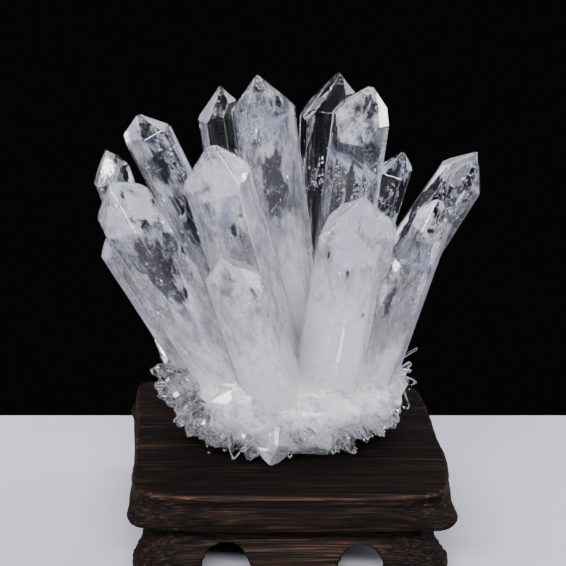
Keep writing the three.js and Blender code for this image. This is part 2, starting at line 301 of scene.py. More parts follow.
def plane_arrays(planes):
    """The planes' normals and distances as two arrays."""
    return np.array([n for n, _ in planes]), np.array([d for _, d in planes])


PARALLEL = 1e-6  # three planes meet in no point below this determinant
ON_PLANE = 1e-5  # mm
FINE_BEVEL = 0.4  # mm; a bevel narrower than this is one flat, a wider one is round


def convex_mesh(planes, name, bevel=0.0):
    """The convex solid inside the planes, with its edges bevelled, in millimetres."""
    normals, reach = plane_arrays(planes)
    corners = []
    for i in range(len(planes)):
        for j in range(i):
            for k in range(j):
                m = normals[[i, j, k]]
                if abs(np.linalg.det(m)) < PARALLEL:
                    continue
                point = np.linalg.solve(m, reach[[i, j, k]])
                if (normals @ point <= reach + ON_PLANE).all():
                    corners.append(point)
    bm = bmesh.new()
    for point in np.unique(np.round(corners, 4), axis=0):
        bm.verts.new(point)
    bmesh.ops.convex_hull(bm, input=list(bm.verts))
    bmesh.ops.dissolve_limit(
        bm, angle_limit=math.radians(0.5), verts=bm.verts[:], edges=bm.edges[:])
    if bevel:
        bmesh.ops.bevel(
            bm, geom=bm.edges[:], offset=bevel, segments=1 if bevel < FINE_BEVEL else 3,
            affect="EDGES", clamp_overlap=True, profile=0.5)
    bmesh.ops.triangulate(bm, faces=bm.faces[:])
    return mesh_of(bm, name)


planes, _ = crystal_planes(*CRYSTALS["tall_centre"])
print("the tall crystal has", len(convex_mesh(planes, "trial").polygons), "triangles")

# %% [markdown]
# ## The crust
# Below, the crystals merge into a crust of milky quartz, where many small crystals
# have grown into one lump. It could be sculpted, but a bowl shaped by a few rules
# is easier to size. A ball of triangles is squeezed to the bowl's three radii. Then
# every corner is pulled in to the nearest of 260 planes set at random round the
# ball, which leaves flat facets as on broken ice, and waves push it in and out.

# %% Crust
CRUST_CENTRE = Vector((-1, 1, 67))
CRUST_RADII = Vector((47, 33, 28))
CRUST_LUMP = 0.06  # the waves' depth, as a share of the radius
CRUST_FACETS = 260
FACET_SPREAD = 0.05
FACET_FACING = 0.3  # a facet cuts the ball where it faces out at least this much
GRAIN_DEPTH = 0.008  # of the finest lumps, as a share of the radius
FRONT_HOLLOW = 0.2  # how much lower the crust is at the front, where the crystals crowd

rng = random.Random(3)
facet_ways = np.array([
    Vector([rng.gauss(0, 1) for _ in range(3)]).normalized() for _ in range(CRUST_FACETS)])
facet_depths = np.array([
    1 + rng.uniform(-FACET_SPREAD, FACET_SPREAD) for _ in range(CRUST_FACETS)])


def crust_mesh(inset=0.0):
    """A ball of triangles, cut by many planes into facets and pushed in and out."""
    bm = bmesh.new()
    bmesh.ops.create_icosphere(bm, subdivisions=6, radius=1)
    for vert in bm.verts:
        d = vert.co.normalized()
        facing = facet_ways @ np.array(d)
        facing_out = facing > FACET_FACING
        facet = (facet_depths[facing_out] / facing[facing_out]).min() - 1
        lump = (math.sin(7 * d.x + 2 * d.y) * math.cos(6 * d.y - 3 * d.z)
                + 0.6 * math.sin(13 * d.y + 9 * d.z + 1) * math.cos(11 * d.x))
        fine = noise.fractal(d * 7, 1.0, 2.0, 4) * GRAIN_DEPTH
        front_top = max(0, min(1, d.z / 0.6)) * max(0, min(1, 0.4 - d.y))
        reach = 1 + CRUST_LUMP * lump + fine + facet - FRONT_HOLLOW * front_top
        vert.co = Vector(
            d[k] * (reach * CRUST_RADII[k] - inset) + CRUST_CENTRE[k] for k in range(3))
    return mesh_of(bm, "crust")


def on_crust(angle, height):
    """A point of the crust at an angle round it and a height."""
    level = math.sqrt(max(0, 1 - ((height - CRUST_CENTRE.z) / CRUST_RADII.z) ** 2))
    return Vector((
        CRUST_CENTRE.x + CRUST_RADII.x * level * math.cos(angle),
        CRUST_CENTRE.y + CRUST_RADII.y * level * math.sin(angle),
        height,
    ))


def slanted(angle, droop):
    """The direction at an angle round the upright, so far below level."""
    return Vector((
        math.cos(angle) * math.cos(droop), math.sin(angle) * math.cos(droop), -math.sin(droop)))


print("crust:", len(crust_mesh().polygons), "triangles")

# %% [markdown]
# ## What grows on the crust
# Everything on the crust is quartz too, so the plane-by-plane function makes it all,
# and only sizes and directions differ. Short milky crystals fan out between the tall
# ones. Thin plates stand out of the crust like splinters of ice: two sides of such a
# crystal grew far slower than the other four. A fringe of small clear points hangs
# from the rim, and the largest needles have places of their own. Points low on the
# crust droop and high ones rise, because each grew straight out of the lump.


# %% Short crystals that fan out with the tall ones
SHORT_COUNT = 24
SHORT_HEIGHTS = (56, 84)  # of the roots, on the crust
SHORT_SLANTS = (-78, -45)  # degrees below level: all of them rise
SHORT_WIDTHS = (5, 11)
SHORT_LENGTHS = (2, 8)  # clear of the crust
SMALL_TAPER = 1.15


def short_crystal(rng):
    """A short milky crystal between the tall ones, its end just clear of the crust."""
    angle, height = rng.uniform(0, 2 * math.pi), rng.uniform(*SHORT_HEIGHTS)
    lower = 0 if math.sin(angle) > -0.2 else 8  # at the front, where the tall ones crowd
    root = on_crust(angle, height - lower)
    way = slanted(angle + rng.uniform(-0.3, 0.3), math.radians(rng.uniform(*SHORT_SLANTS)))
    width = rng.uniform(*SHORT_WIDTHS)
    tip = root + way * rng.uniform(*SHORT_LENGTHS)
    cuts = tuple(width * 0.4 * rng.random() ** 2 for _ in range(6))
    foot = root.lerp(CRUST_CENTRE, 0.5)
    return tuple(foot), tuple(tip), width, rng.uniform(0, 60), cuts, SMALL_TAPER


rng = random.Random(5)
short_crystals = [short_crystal(rng) for _ in range(SHORT_COUNT)]
print(len(short_crystals), "short crystals")


# %% Plates and wedges of the rim
FRONT_RIM = 62  # above this height the crust's front stays bare, for the tall crystals
DROOP_HEIGHTS = (45, 60, 80)
PLATE_DROOPS = (50, 30, -40)  # degrees below level, at those heights
PLATE_SINK = 9  # how deep a plate is rooted
PLATE_FLATS = (0.16, 0.35)


def on_bare_front(angle, height):
    """Whether a place is at the crust's front, above the rim."""
    return math.sin(angle) < -0.3 and height > FRONT_RIM


def growth_way(rng, angle, height, droops, spread, twist):
    """The direction in which something grows out of the crust: more or less straight."""
    droop = np.interp(height, DROOP_HEIGHTS, droops) + rng.uniform(-spread, spread)
    return slanted(angle + rng.uniform(-twist, twist), math.radians(droop))


def uneven_cuts(rng, deepest):
    """How deep the end faces cut, at random; one of them reaches the tip."""
    cuts = [rng.uniform(0, deepest) for _ in range(6)]
    cuts[rng.randrange(6)] = 0
    return tuple(cuts)


def plate(rng, height, out, width):
    """A flat crystal that stands out of the crust like a splinter of ice."""
    angle = rng.uniform(0, 2 * math.pi)
    if on_bare_front(angle, height):
        height -= 14
    root = on_crust(angle, height)
    way = growth_way(rng, angle, height, PLATE_DROOPS, 16, 0.6)
    tip = root + way * out
    tip.z = max(tip.z, STAND_HEIGHT + 1.5)
    cuts = uneven_cuts(rng, width * 0.5)
    return (tuple(root - way * PLATE_SINK), tuple(tip), width, rng.uniform(0, 180), cuts,
            rng.uniform(1.0, 1.5), rng.uniform(*PLATE_FLATS))


rng = random.Random(17)
# count, from and to: height on the crust, how far out, width
PLATE_KINDS = [
    (110, (48, 62), (2.5, 6.5), (3, 8)),
    (50, (62, 80), (0.5, 2.5), (3, 7)),
    (36, (52, 76), (0.4, 1.6), (7, 14)),
]
plates = []
for count, height, out, width in PLATE_KINDS:
    for _ in range(count):
        plates.append(plate(rng, rng.uniform(*height), rng.uniform(*out), rng.uniform(*width)))
print(len(plates), "plates")

# %% Points that stand out from the rim
# root, tip, width: the clear needles and wedges that the eye picks out
NEEDLES = [
    ((-31.7, -14, 50), (-30.5, -16.2, 43), 1.4), ((-22.6, -24, 60), (-21.6, -28.9, 51), 1.6),
    ((-25.4, -22, 58), (-24.6, -25, 54.7), 1.5), ((16.3, -25, 57), (17.7, -28.5, 50.4), 1.9),
    ((20.5, -23, 57), (26.4, -27.7, 49.9), 2.6), ((25.9, -23, 63), (31.4, -27.4, 56.2), 2.1),
    ((23.2, -24, 62), (27, -27.7, 56.6), 1.6), ((37, -15, 62), (34.8, -18.4, 54), 7),
    ((40, -7.5, 58), (43.5, -9.2, 53.4), 3.3), ((44, -2, 65), (47.2, -4.9, 56.3), 2.4),
    ((45, 0.2, 68), (51.2, -1.3, 66.5), 2.2), ((45, 5, 75), (51.1, 3.4, 80), 0.9),
    ((45, 2.6, 71), (48.5, 1.7, 74.7), 1.9), ((-45, 1.8, 70), (-51.1, 0.4, 70), 3.6),
    ((-45, 4.2, 73), (-49.9, 2.8, 75.8), 2.6), ((-44, -6, 70), (-48.7, -7.2, 68), 3),
    ((-41, -11.9, 69), (-46.1, -13.3, 66), 3), ((-39, -15.4, 67), (-44.4, -17.4, 62.7), 3),
    ((-34, -19, 68), (-41, -22.1, 65), 4.4), ((-31, -21, 66), (-39, -24.8, 62.6), 4),
    ((-29.5, -22, 65), (-28.9, -26, 58), 4), ((-16, -26, 58.5), (-18, -29, 54.8), 3.3),
    ((4.5, -28, 60), (6.4, -31, 55.3), 3.3), ((11.3, -27, 60), (9.8, -30.2, 55.6), 3.6),
]
NEEDLE_SINK = 4  # how deep a needle is rooted


def needle(root, tip, width, rng):
    """A needle between two points, rooted a little deeper than the first."""
    way = (Vector(tip) - Vector(root)).normalized()
    cuts = uneven_cuts(rng, width * 0.4)
    foot = Vector(root) - way * NEEDLE_SINK
    return tuple(foot), tip, width, rng.uniform(0, 60), cuts, SMALL_TAPER


rng = random.Random(11)
needles = [needle(*place, rng) for place in NEEDLES]
print(len(needles), "needles")

# %% The fringe of small points
FRINGE_COUNT = 150
FRINGE_HEIGHTS = (46, 80)
FRINGE_DROOPS = (50, 28, -38)
FRINGE_WIDTHS = [1.1, 1.4, 1.8, 2.2, 2.8, 3.4]
FRINGE_SINK = 5
FRINGE_TAPER = 1.1


def fringe_points(rng, count):
    """Small crystals rooted in the crust: most hang from its rim and underside."""
    points = []
    while len(points) < count:
        angle, height = rng.uniform(0, 2 * math.pi), rng.uniform(*FRINGE_HEIGHTS)
        if on_bare_front(angle, height):
            continue
        root = on_crust(angle, height)
        way = growth_way(rng, angle, height, FRINGE_DROOPS, 18, 0.45)
        width = rng.choice(FRINGE_WIDTHS)
        # most are short; the fifth power leaves a few that stand out by up to 3 mm more
        tip = root + way * (0.8 + width * rng.uniform(0.7, 2.0) + 3 * rng.random() ** 5)
        tip.z = max(tip.z, STAND_HEIGHT + 0.8)
        cuts = uneven_cuts(rng, width * 0.35)
        foot = root - way * FRINGE_SINK
        points.append((tuple(foot), tuple(tip), width, rng.uniform(0, 60), cuts, FRINGE_TAPER))
    return points


fringe = fringe_points(random.Random(7), FRINGE_COUNT)
print(len(fringe), "small points")

# %% [markdown]
# ## One solid of glass, one of milk
# Crystals that have grown into each other have no skin between them, and glass
# shows any skin left inside. So all of them are joined with a boolean union. A
# number on each face remembers which crystal it came from, and the union keeps it.
# The milk is a second solid a millimetre or so inside the first, made from the same
# planes drawn in: seen through a clear skin it looks deep, as in real quartz, where
# milk painted on the faces would look like plaster.


# %% Join everything into one mesh
def face_tag(mesh, name, values):
    """Writes a number on each face of a mesh."""
    layer = mesh.attributes.new(name, "FLOAT", "FACE")
    layer.data.foreach_set("value", values)


def join_solids(meshes, name):
    """The union of closed meshes, added one after the other in pairs."""
    objects = [in_scene("lump", mesh) for mesh in meshes]
    while len(objects) > 1:
        pairs = list(zip(objects[0::2], objects[1::2]))
        for keep, other in pairs:
            union = keep.modifiers.new("union", "BOOLEAN")
            union.operation, union.solver, union.object = "UNION", "MANIFOLD", other
        graph = bpy.context.evaluated_depsgraph_get()
        joined = [bpy.data.meshes.new_from_object(keep.evaluated_get(graph)) for keep, _ in pairs]
        left = [objects[-1]] if len(objects) % 2 else []
        for (keep, other), mesh in zip(pairs, joined):
            keep.modifiers.clear()
            keep.data = mesh
            bpy.data.objects.remove(other)
            left.append(keep)
        objects = left
    objects[0].name = objects[0].data.name = name
    return objects[0]


EDGE_WEAR = 0.18  # width of the worn bevel along a large crystal's edges, mm
# crystals whose ends are worn round, with the width of the rounding in mm
WORN = {
    "centre_right": 1.3, "centre_right_twin": 1.1, "front_centre": 0.7,
    "centre_left": 0.5, "front_left": 0.5,
}
large = list(CRYSTALS)  # the name of crystal number n is at n - 1, the crust is number 0
milky_specs = [*CRYSTALS.values(), *short_crystals, *plates]
specs = [*milky_specs, *needles, *fringe]


def grown_together(name, crust, crystals):
    """Numbers the crust and the crystals' solids on their faces, and joins them."""
    for index, mesh in enumerate([crust, *crystals]):
        face_tag(mesh, "crystal", [index] * len(mesh.polygons))
    joined = join_solids([crust, *crystals], name)
    print(name, "joined:", len(joined.data.polygons), "faces")
    return joined


wear = [WORN.get(name, EDGE_WEAR) for name in large] + [0] * (len(specs) - len(large))
quartz = grown_together("quartz_crystals", crust_mesh(), [
    convex_mesh(crystal_planes(*spec)[0], "crystal", bevel)
    for spec, bevel in zip(specs, wear)])

# %% The milk inside
MILK_DEPTH = 1.1  # how far under the faces of a large crystal the milk starts, mm
CRUST_MILK_DEPTH = 1.6
SMALL_MILK_DEPTH = 0.2  # of a small crystal's thickness, up to the crust's depth


def milk_solid(index, spec):
    """A crystal with its planes drawn in, so that its milk starts under the faces."""
    thickness = spec[2] * (spec[6] if len(spec) > 6 else 1)
    depth = min(CRUST_MILK_DEPTH, thickness * SMALL_MILK_DEPTH)
    if index < len(large):
        depth = MILK_DEPTH
    planes, _ = crystal_planes(*spec)
    return convex_mesh([(normal, reach - depth) for normal, reach in planes], "milk")


milk = grown_together("inner_milk", crust_mesh(CRUST_MILK_DEPTH), [
    milk_solid(index, spec) for index, spec in enumerate(milky_specs)])

# %% [markdown]
# ## Resting on the stand
# The cluster rests on a flat, which stands for the broken face under a real cluster.
# A cut at the height of the stand's top makes it, and the milk is cut a little
# higher. Crumbs that the unions and the cut leave loose are swept away, and then the
# mesh moves from millimetres into the part's frame.


# %% Cut the resting face and move into the part's frame
SLIVER = 1e-3  # edges shorter than this, in mm, are closed up


def sweep_crumbs(bm):
    """Deletes every loose piece of a mesh but the largest."""
    waiting, islands = set(bm.faces), []
    while waiting:
        island, reached = set(), [waiting.pop()]
        while reached:
            face = reached.pop()
            island.add(face)
            for other in {other for edge in face.edges for other in edge.link_faces} & waiting:
                waiting.remove(other)
                reached.append(other)
        islands.append(island)
    islands.sort(key=len)
    for island in islands[:-1]:
        bmesh.ops.delete(bm, geom=list(island), context="FACES")
    return len(islands) - 1


def settle(thing, floor):
    """Cuts a mesh in millimetres flat at a height, then puts it in the part's frame."""
    bm = bmesh.new()
    bm.from_mesh(thing.data)
    cut = bmesh.ops.bisect_plane(
        bm, geom=bm.verts[:] + bm.edges[:] + bm.faces[:], dist=1e-4,
        plane_co=(0, 0, floor), plane_no=(0, 0, -1), clear_outer=True)
    rim = [e for e in cut["geom_cut"] if isinstance(e, bmesh.types.BMEdge)]
    bmesh.ops.triangle_fill(bm, use_beauty=True, edges=rim)
    bmesh.ops.dissolve_degenerate(bm, dist=SLIVER, edges=bm.edges[:])
    crumbs = sweep_crumbs(bm)
    bmesh.ops.recalc_face_normals(bm, faces=bm.faces[:])
    bm.transform(TO_PART)
    bm.to_mesh(thing.data)
    bm.free()
    print(thing.name, "rests; crumbs swept away:", crumbs)


settle(quartz, STAND_HEIGHT)
settle(milk, STAND_HEIGHT + MILK_DEPTH)
places = np.array([vert.co for vert in quartz.data.vertices]) / MM
print("quartz from", places.min(axis=0).round(1), "to", places.max(axis=0).round(1), "mm")

# %% [markdown]
# ## Where the quartz is milky and where it is clear
# Milky quartz is full of tiny bubbles that were trapped while it grew fast. These
# crystals started milky and ended clear, so the milk fades along each one. Some
# faces carry a frost of their own, and clear windows and cracks break the milk.
# Each corner of both meshes carries a few numbers for that, and the materials turn
# them into cloud, frost and windows.

# %% Milk and frost of each crystal
# milk: how far along the crystal it reaches (0 foot, 1 tip); haze: of all its faces;
# then faces that differ: s0-s5 sides, c0-c5 end faces, counted as in the plane list
HABIT = {
    "front_left": (0.45, 0.3, {
        "c0": 1.0, "c1": 0.85, "c2": 1.0, "c5": 1.0, "s0": 0.5, "s1": 0.4, "s5": 0.62}),
    "front_left_twin": (0.34, 0.5, {"c5": 0.9, "s5": -0.1}),
    "far_left": (-0.1, 0, {"c0": 0.1, "c5": 0.8}),
    "upper_left": (0.33, 0.3, {"c5": 1.1, "s5": 0.6, "s0": 0.4, "c1": 0.9, "s1": -0.2, "c0": 0.5}),
    "centre_left": (0.6, 0.5, {"c0": 0.88, "c5": 0.9, "c1": 0.6, "s0": 0.55, "s1": 0.95, "s5": 0.6}),
    "front_centre": (0.74, 0.75, {"c0": 0.85, "c1": 0.7, "c5": 0.75, "s0": 0.75}),
    "tall_centre": (0.62, 0.45, {"c0": 0.35, "c1": 0.6, "c5": 0.5, "s0": 0.5, "s1": 0.65}),
    "behind_centre": (0.4, 0.2, {"c5": 1.1, "c0": 0.6, "c1": 1.1, "s0": 0.25, "s5": 0.7}),
    "tall_right_rear": (0.14, -0.04, {"c5": 0.4, "c1": 0.3, "s5": 0.2, "c0": 0.3}),
    # tall_right's c1 is frosted fully white, a painted highlight for its bright facet
    "tall_right": (0.36, 0.33, {"c0": 0.78, "c1": 1.9, "s0": 0.2, "s1": -0.2, "s5": 0}),
    "small_right_rear": (0.4, 0.2, {"c1": 1.5, "c0": 0.45, "s0": 0.25, "s1": 0.3}),
    "far_right": (0.18, 0.04, {"c4": 1.2, "c1": 0.4, "c5": 0.25, "c0": 0.55, "s5": 0.3, "s0": 0}),
    "front_right": (0.47, 0.35, {"c5": 0.5, "c0": 0.75, "s0": 0.5, "s5": -0.1, "s1": 2.9}),
    "centre_right": (0.76, 0.85, {"c4": 1.1, "c0": 0.95, "c1": 0.9, "c5": 0.9}),
    "centre_right_twin": (0.8, 0.6, {"c5": 1.1, "c0": 0.8}),
    "low_right": (0.5, 0.45, {"c0": 0.7}),
    "front_wedge": (1.3, 0.9, {}),
}
OTHER_HABIT = (0.5, 0.35, {})  # of the large crystals at the back and sides
SHORT_HABIT = (1.3, 0.6, {})
PLATE_HABIT = (0.75, 0.35, {})
SMALL_HABIT = (0.5, 0.5, {})
CRUST_HABIT = (0.18, 0.25, {})
print(len(HABIT), "crystals with a habit of their own")

# %% Windows, lenses of painted shade and painted glints
# A window is a hole in the milk round a point of a face, with a lens of painted
# shade under it, painted dark where the clear quartz shows the dark room: crystal,
# point, half-length along the crystal, half-width, depth of the lens, in mm. A
# painted glint is a white patch on a face, a painted highlight where the face
# mirrors the light; its last number is a half-depth.
MARKS = {
    "window": [
        ("front_left", (-45, -37.3, 131.5), 21, 5.4, 5),
        ("front_left", (-51.5, -39, 150.8), 2.2, 3, 3),
        ("front_left", (-58.4, -35.5, 161.3), 1.2, 0.8, 1.4),
        ("upper_left", (-51.5, -5.9, 173.5), 4.4, 3, 3),
        ("upper_left", (-47.7, -8.1, 160.3), 6.5, 3.6, 3.5),
        ("upper_left", (-37.3, -7.7, 140.1), 15, 3, 4),
        ("tall_centre", (-5.3, -8.2, 154.8), 16, 5, 5),
        ("tall_centre", (-12.7, -0.9, 188.4), 1.1, 1.1, 1.4),
        ("tall_centre", (-1.5, -3, 184), 3, 2.4, 3),
        ("centre_left", (-17.2, -35.9, 153.4), 1.2, 1.2, 2),
        ("centre_left", (-19, -36.5, 147), 3, 1.1, 2.5),
        ("behind_centre", (-24.5, 18.7, 176.1), 4, 1.4, 2),
        ("far_left", (-60.4, 12.5, 153.7), 6, 3, 3.5),
        ("low_right", (37.4, -27, 113.4), 9, 1.5, 2.5),
        ("low_right", (40, -28.1, 120.1), 3, 0.9, 1.8),
        ("front_right", (53.3, -24.6, 150), 4.2, 1.3, 1.6),
        ("front_right", (55.3, -24.8, 148.1), 3.6, 1.1, 1.6),
        ("front_right", (50.9, -27.9, 143.6), 1.6, 1.8, 1.8),
        ("far_right", (66.8, -1.1, 150.6), 6, 4, 6),
        ("far_right", (48, 2.4, 142), 17, 3, 3),
        ("tall_right", (30.6, 3.3, 179.5), 5, 2.4, 2.5),
        ("tall_right", (30, -3.9, 166.5), 3, 2.2, 3.5),
        ("tall_right", (22.3, -4.7, 150), 13, 1.6, 4),
        ("front_centre", (-11.9, -49, 129.8), 2.4, 0.8, 1.6),
        ("front_centre", (-9.4, -47.4, 128), 2.2, 0.4, 1.6),
        ("front_centre", (-10.5, -49.1, 122.5), 2.4, 0.5, 1.6),
        ("centre_right", (20.7, -40.9, 133), 2.4, 1, 2),
        ("centre_right", (13, -42, 140.5), 2, 0.5, 1.8),
        ("centre_right", (27, -33, 112.3), 1.2, 0.6, 1.8),
        ("centre_right_twin", (28.8, -37.9, 129.3), 2.2, 0.8, 1.6),
    ],
    "painted_glint": [
        ("far_left", (-68.5, 11.9, 152.9), 3.4, 2.4, 4),
        ("low_right", (39.3, -28.4, 131.7), 2.2, 1.4, 4),
        ("centre_left", (-15.5, -32.7, 167.4), 1.2, 0.9, 3),
        ("centre_right", (19.4, -30.5, 99.3), 12, 0.6, 3),
        ("upper_left", (-60, -3, 172), 4, 1.2, 4),
    ],
}
MARKS_EACH = 3  # of a kind, at most, on one crystal
WINDOW_REACH = 5  # how deep a window opens the milk, mm
FAR_AWAY = 9.0  # half-lengths from a mark: a corner with this number is outside it
mark_names = [f"{kind}_{k}" for kind in MARKS for k in range(MARKS_EACH)]
print({kind: len(marks) for kind, marks in MARKS.items()})


# %% The habit of each crystal and of the crust
# how much of the haze shows as frost on a side, on an end face and on small crystals,
# and how much as milk under them
SKIN_SHARE = {"s": 0.3, "c": 0.55, "small": 0.9}
MILK_SHARE = {"s": 1.0, "c": 0.68, "small": 1.0}
CLEAR_LEFT = (-28, -44)  # from and to along X, where the crust turns clear, mm
CLEAR_LOW = (54, 44)  # and down Z
CLEAR_FROST = 0.12  # more frost where the crust holds less milk


def habit_of(index):
    """The name and habit of crystal number index; number 0 is the crust."""
    name = large[index - 1] if 0 < index <= len(large) else ""
    if name in HABIT:
        return name, HABIT[name]
    for count, habit in (
            (1, CRUST_HABIT), (len(large), OTHER_HABIT),
            (len(short_crystals), SHORT_HABIT), (len(plates), PLATE_HABIT)):
        if index < count:
            return name, habit
        index -= count
    return name, SMALL_HABIT


def crust_clearness(places):
    """How much less milk the crust and its small crystals hold, at places in mm."""
    left, low = (
        np.clip((start - places[:, k]) / (start - end), 0, 1)
        for k, (start, end) in ((0, CLEAR_LEFT), (2, CLEAR_LOW)))
    return 0.7 * left + 0.3 * low


print("haze of the crust:", CRUST_HABIT[1], "and of short crystals:", SHORT_HABIT[1])

# %% Numbers for the corners of one crystal
# frost on the worn bevels, which also paints the edges paler as a painted highlight line
BEVEL_FROST_AND_HIGHLIGHT = 0.42
ON_FACE = 0.995  # a normal less like its plane's than this is a bevel's
GRAIN_SQUEEZE = 0.62  # patterns are drawn out along the crystal by this share
GRAIN_SHIFT = 40  # mm, by up to which each crystal's pattern is moved


def habit_numbers(milk, haze, height):
    """A row of milk, haze and height per corner; each is an array or one number."""
    return np.stack(np.broadcast_arrays(milk, haze, height), axis=1)


def crust_numbers(here, share):
    """What the crust's corners carry: milk, haze and no height."""
    _, (milk, haze, _) = habit_of(0)
    less = crust_clearness(here)
    return {"habit": habit_numbers(milk - less, haze * share["small"] + CLEAR_FROST * less, 0.0)}


def crystal_numbers(index, here, normals, share):
    """What the corners of a crystal carry, from their places and faces' normals."""
    name, (milk, haze, differ) = habit_of(index)
    less = 0
    if not name:
        less = crust_clearness(here)
        haze = (haze + 0.3 * (chance(index * 1.7) - 0.5)) * share["small"]
        milk += 0.4 * (chance(index * 2.3) - 0.5)
    foot, tip = (np.array(point, float) for point in specs[index - 1][:2])
    planes, axis = crystal_planes(*specs[index - 1])
    axis, length = np.array(axis), np.linalg.norm(tip - foot)
    height = (here - foot) @ axis
    match = normals @ plane_arrays(planes)[0].T
    frost = [haze] + [
        differ.get(f"{kind}{k}", haze) * share[kind] for k in range(6) for kind in "sc"]
    frost = np.array(frost)[match.argmax(axis=1)]
    # bevels get the frost that also paints a highlight line along the edges
    frost = np.where(match.max(axis=1) < ON_FACE, BEVEL_FROST_AND_HIGHLIGHT, frost)
    numbers = {
        "grain": here - GRAIN_SQUEEZE * np.outer(here @ axis, axis)
        + GRAIN_SHIFT * chance(index * 3.1),
        "habit": habit_numbers(milk - height / length - less, frost + CLEAR_FROST * less, height),
    }
    side = np.cross(axis, (0, 1, 0))
    side /= np.linalg.norm(side)
    ways = (axis, side, np.cross(side, axis))
    for kind, marks in MARKS.items():
        for k, (_, middle, long, wide, deep) in enumerate(m for m in marks if m[0] == name):
            gap = here - np.array(middle)
            half = (long, wide, WINDOW_REACH if kind == "window" else deep)
            numbers[f"{kind}_{k}"] = np.stack(
                [gap @ way / size for way, size in zip(ways, half)], axis=1)
    return numbers


# %% Numbers on the corners of the mesh
def read(items, key, kind, width=1):
    """A value, or a row of them, for each vertex, face or corner of a mesh."""
    values = np.zeros(len(items) * width, kind)
    items.foreach_get(key, values)
    return values.reshape(-1, width) if width > 1 else values


def corner_numbers(mesh, share):
    """For every corner, from the crystal that its face came from: its place in the
    grain of that crystal, its milk, haze and height, and its place in each mark."""
    tags = np.rint(read(mesh.attributes["crystal"].data, "value", np.float32)).astype(int)
    places = read(mesh.vertices, "co", float, 3)[read(mesh.loops, "vertex_index", np.int32)]
    places = (places - np.array(SHIFT)) / MM
    owner = np.repeat(np.arange(len(tags)), read(mesh.polygons, "loop_total", np.int32))
    normals = read(mesh.polygons, "normal", np.float32, 3)[owner]
    tables = {"grain": places.copy(), "habit": np.ones_like(places)}
    tables.update({name: np.full_like(places, FAR_AWAY) for name in mark_names})
    for index in np.unique(tags):
        mine = tags[owner] == index
        if index:
            numbers = crystal_numbers(index, places[mine], normals[mine], share)
        else:
            numbers = crust_numbers(places[mine], share)
        for name, rows in numbers.items():
            tables[name][mine] = rows
    for name, table in tables.items():
        layer = mesh.attributes.new(name, "FLOAT_VECTOR", "CORNER")
        layer.data.foreach_set("vector", table.astype(np.float32).ravel())
    mesh.polygons.foreach_set("use_smooth", tags == 0)
    print("numbers set on", len(tags), "faces,", int((tags == 0).sum()), "of them crust")


corner_numbers(quartz.data, SKIN_SHARE)
corner_numbers(milk.data, MILK_SHARE)

# %% [markdown]
# ## Quartz
# Quartz is a natural glass-hard crystal, left as it grew: its faces are as smooth
# as polished glass, so they mirror the lamps crisply, with fine growth lines across
# the sides. Its index of refraction is 1.544, and it has no colour of its own, so
# the shader transmits everything. Some faces are frosted where other crystals etched
# them: there the shader turns a pale grey that lets less light through, and a little
# rough. Noise at four sizes makes the frost: clouds of 11 mm, streaks of 3.2 mm along
# the crystal, curls of 6.5 mm and grit of 0.7 mm. Here and there a flat cell of
# 1.4 mm is painted white, a painted sparkle for a healed crack close under the face
# that catches the light, and painted glints are white patches on a few faces.


# %% Frost and windows, shared by the quartz and its milk
# size of the blobs in mm, detail, roughness, distortion
FROST_NOISES = {
    "clouds": (11, 4.0, 0.55, 0.4), "streaks": (3.2, 6.0, 0.65, 0.0),
    "curls": (6.5, 3.0, 0.5, 1.0), "grit": (0.7, 3.0, 0.6, 0.0),
}


def frost_pattern(add):
    """What the corners carry, by name, the milk, haze and height among it, and the
    frost with the noises that it is made of."""
    places = {
        name: add("Attribute", attribute_name=name).outputs["Vector"]
        for name in ("grain", "habit", *mark_names)}
    milk, haze, height = add("SeparateXYZ", {0: places["habit"]}).outputs
    clouds, streaks, curls, grit = (
        add("TexNoise", {
            "Vector": places["grain"], "Scale": 1 / size, "Detail": detail,
            "Roughness": rough, "Distortion": swirl}).outputs["Fac"]
        for size, detail, rough, swirl in FROST_NOISES.values())
    mixed = add("Math", {0: clouds, 1: streaks}, operation="ADD")
    level = add("Math", {0: mixed, 1: haze}, operation="ADD")
    level = add("Math", {0: grit, 1: 0.3, 2: level}, operation="MULTIPLY_ADD")
    frosty = add("MapRange", {
        "Value": level, "From Min": 1.45, "From Max": 2.0}, interpolation_type="SMOOTHSTEP")
    return places, (milk, haze, height), frosty, (clouds, streaks, curls, grit)


MARK_RAG = 4.0  # how much the noise frays the edge of a mark


def marked(add, places, kind, swirl):
    """1 inside the ragged ellipsoids round a crystal's marks of a kind, 0 outside."""
    nearest = FAR_AWAY
    for name in mark_names:
        if name.startswith(kind):
            far = add("VectorMath", {0: places[name]}, operation="LENGTH").outputs["Value"]
            nearest = add("Math", {0: far, 1: nearest}, operation="MINIMUM")
    ragged = add("Math", {0: swirl, 1: MARK_RAG, 2: nearest}, operation="MULTIPLY_ADD")
    return add("MapRange", {
        "Value": ragged, "From Min": MARK_RAG / 2 + 0.7, "From Max": MARK_RAG / 2 + 1.2,
        "To Min": 1.0, "To Max": 0.0}, interpolation_type="SMOOTHSTEP")


print("marks that the materials read:", mark_names)


# %% Quartz material
PAINTED_SPARKLE_CELL = 1.4  # of the cells painted white as painted sparkle, mm
LINE_SPACING = 0.9  # of the growth lines, mm
QUARTZ_IOR = 1.544


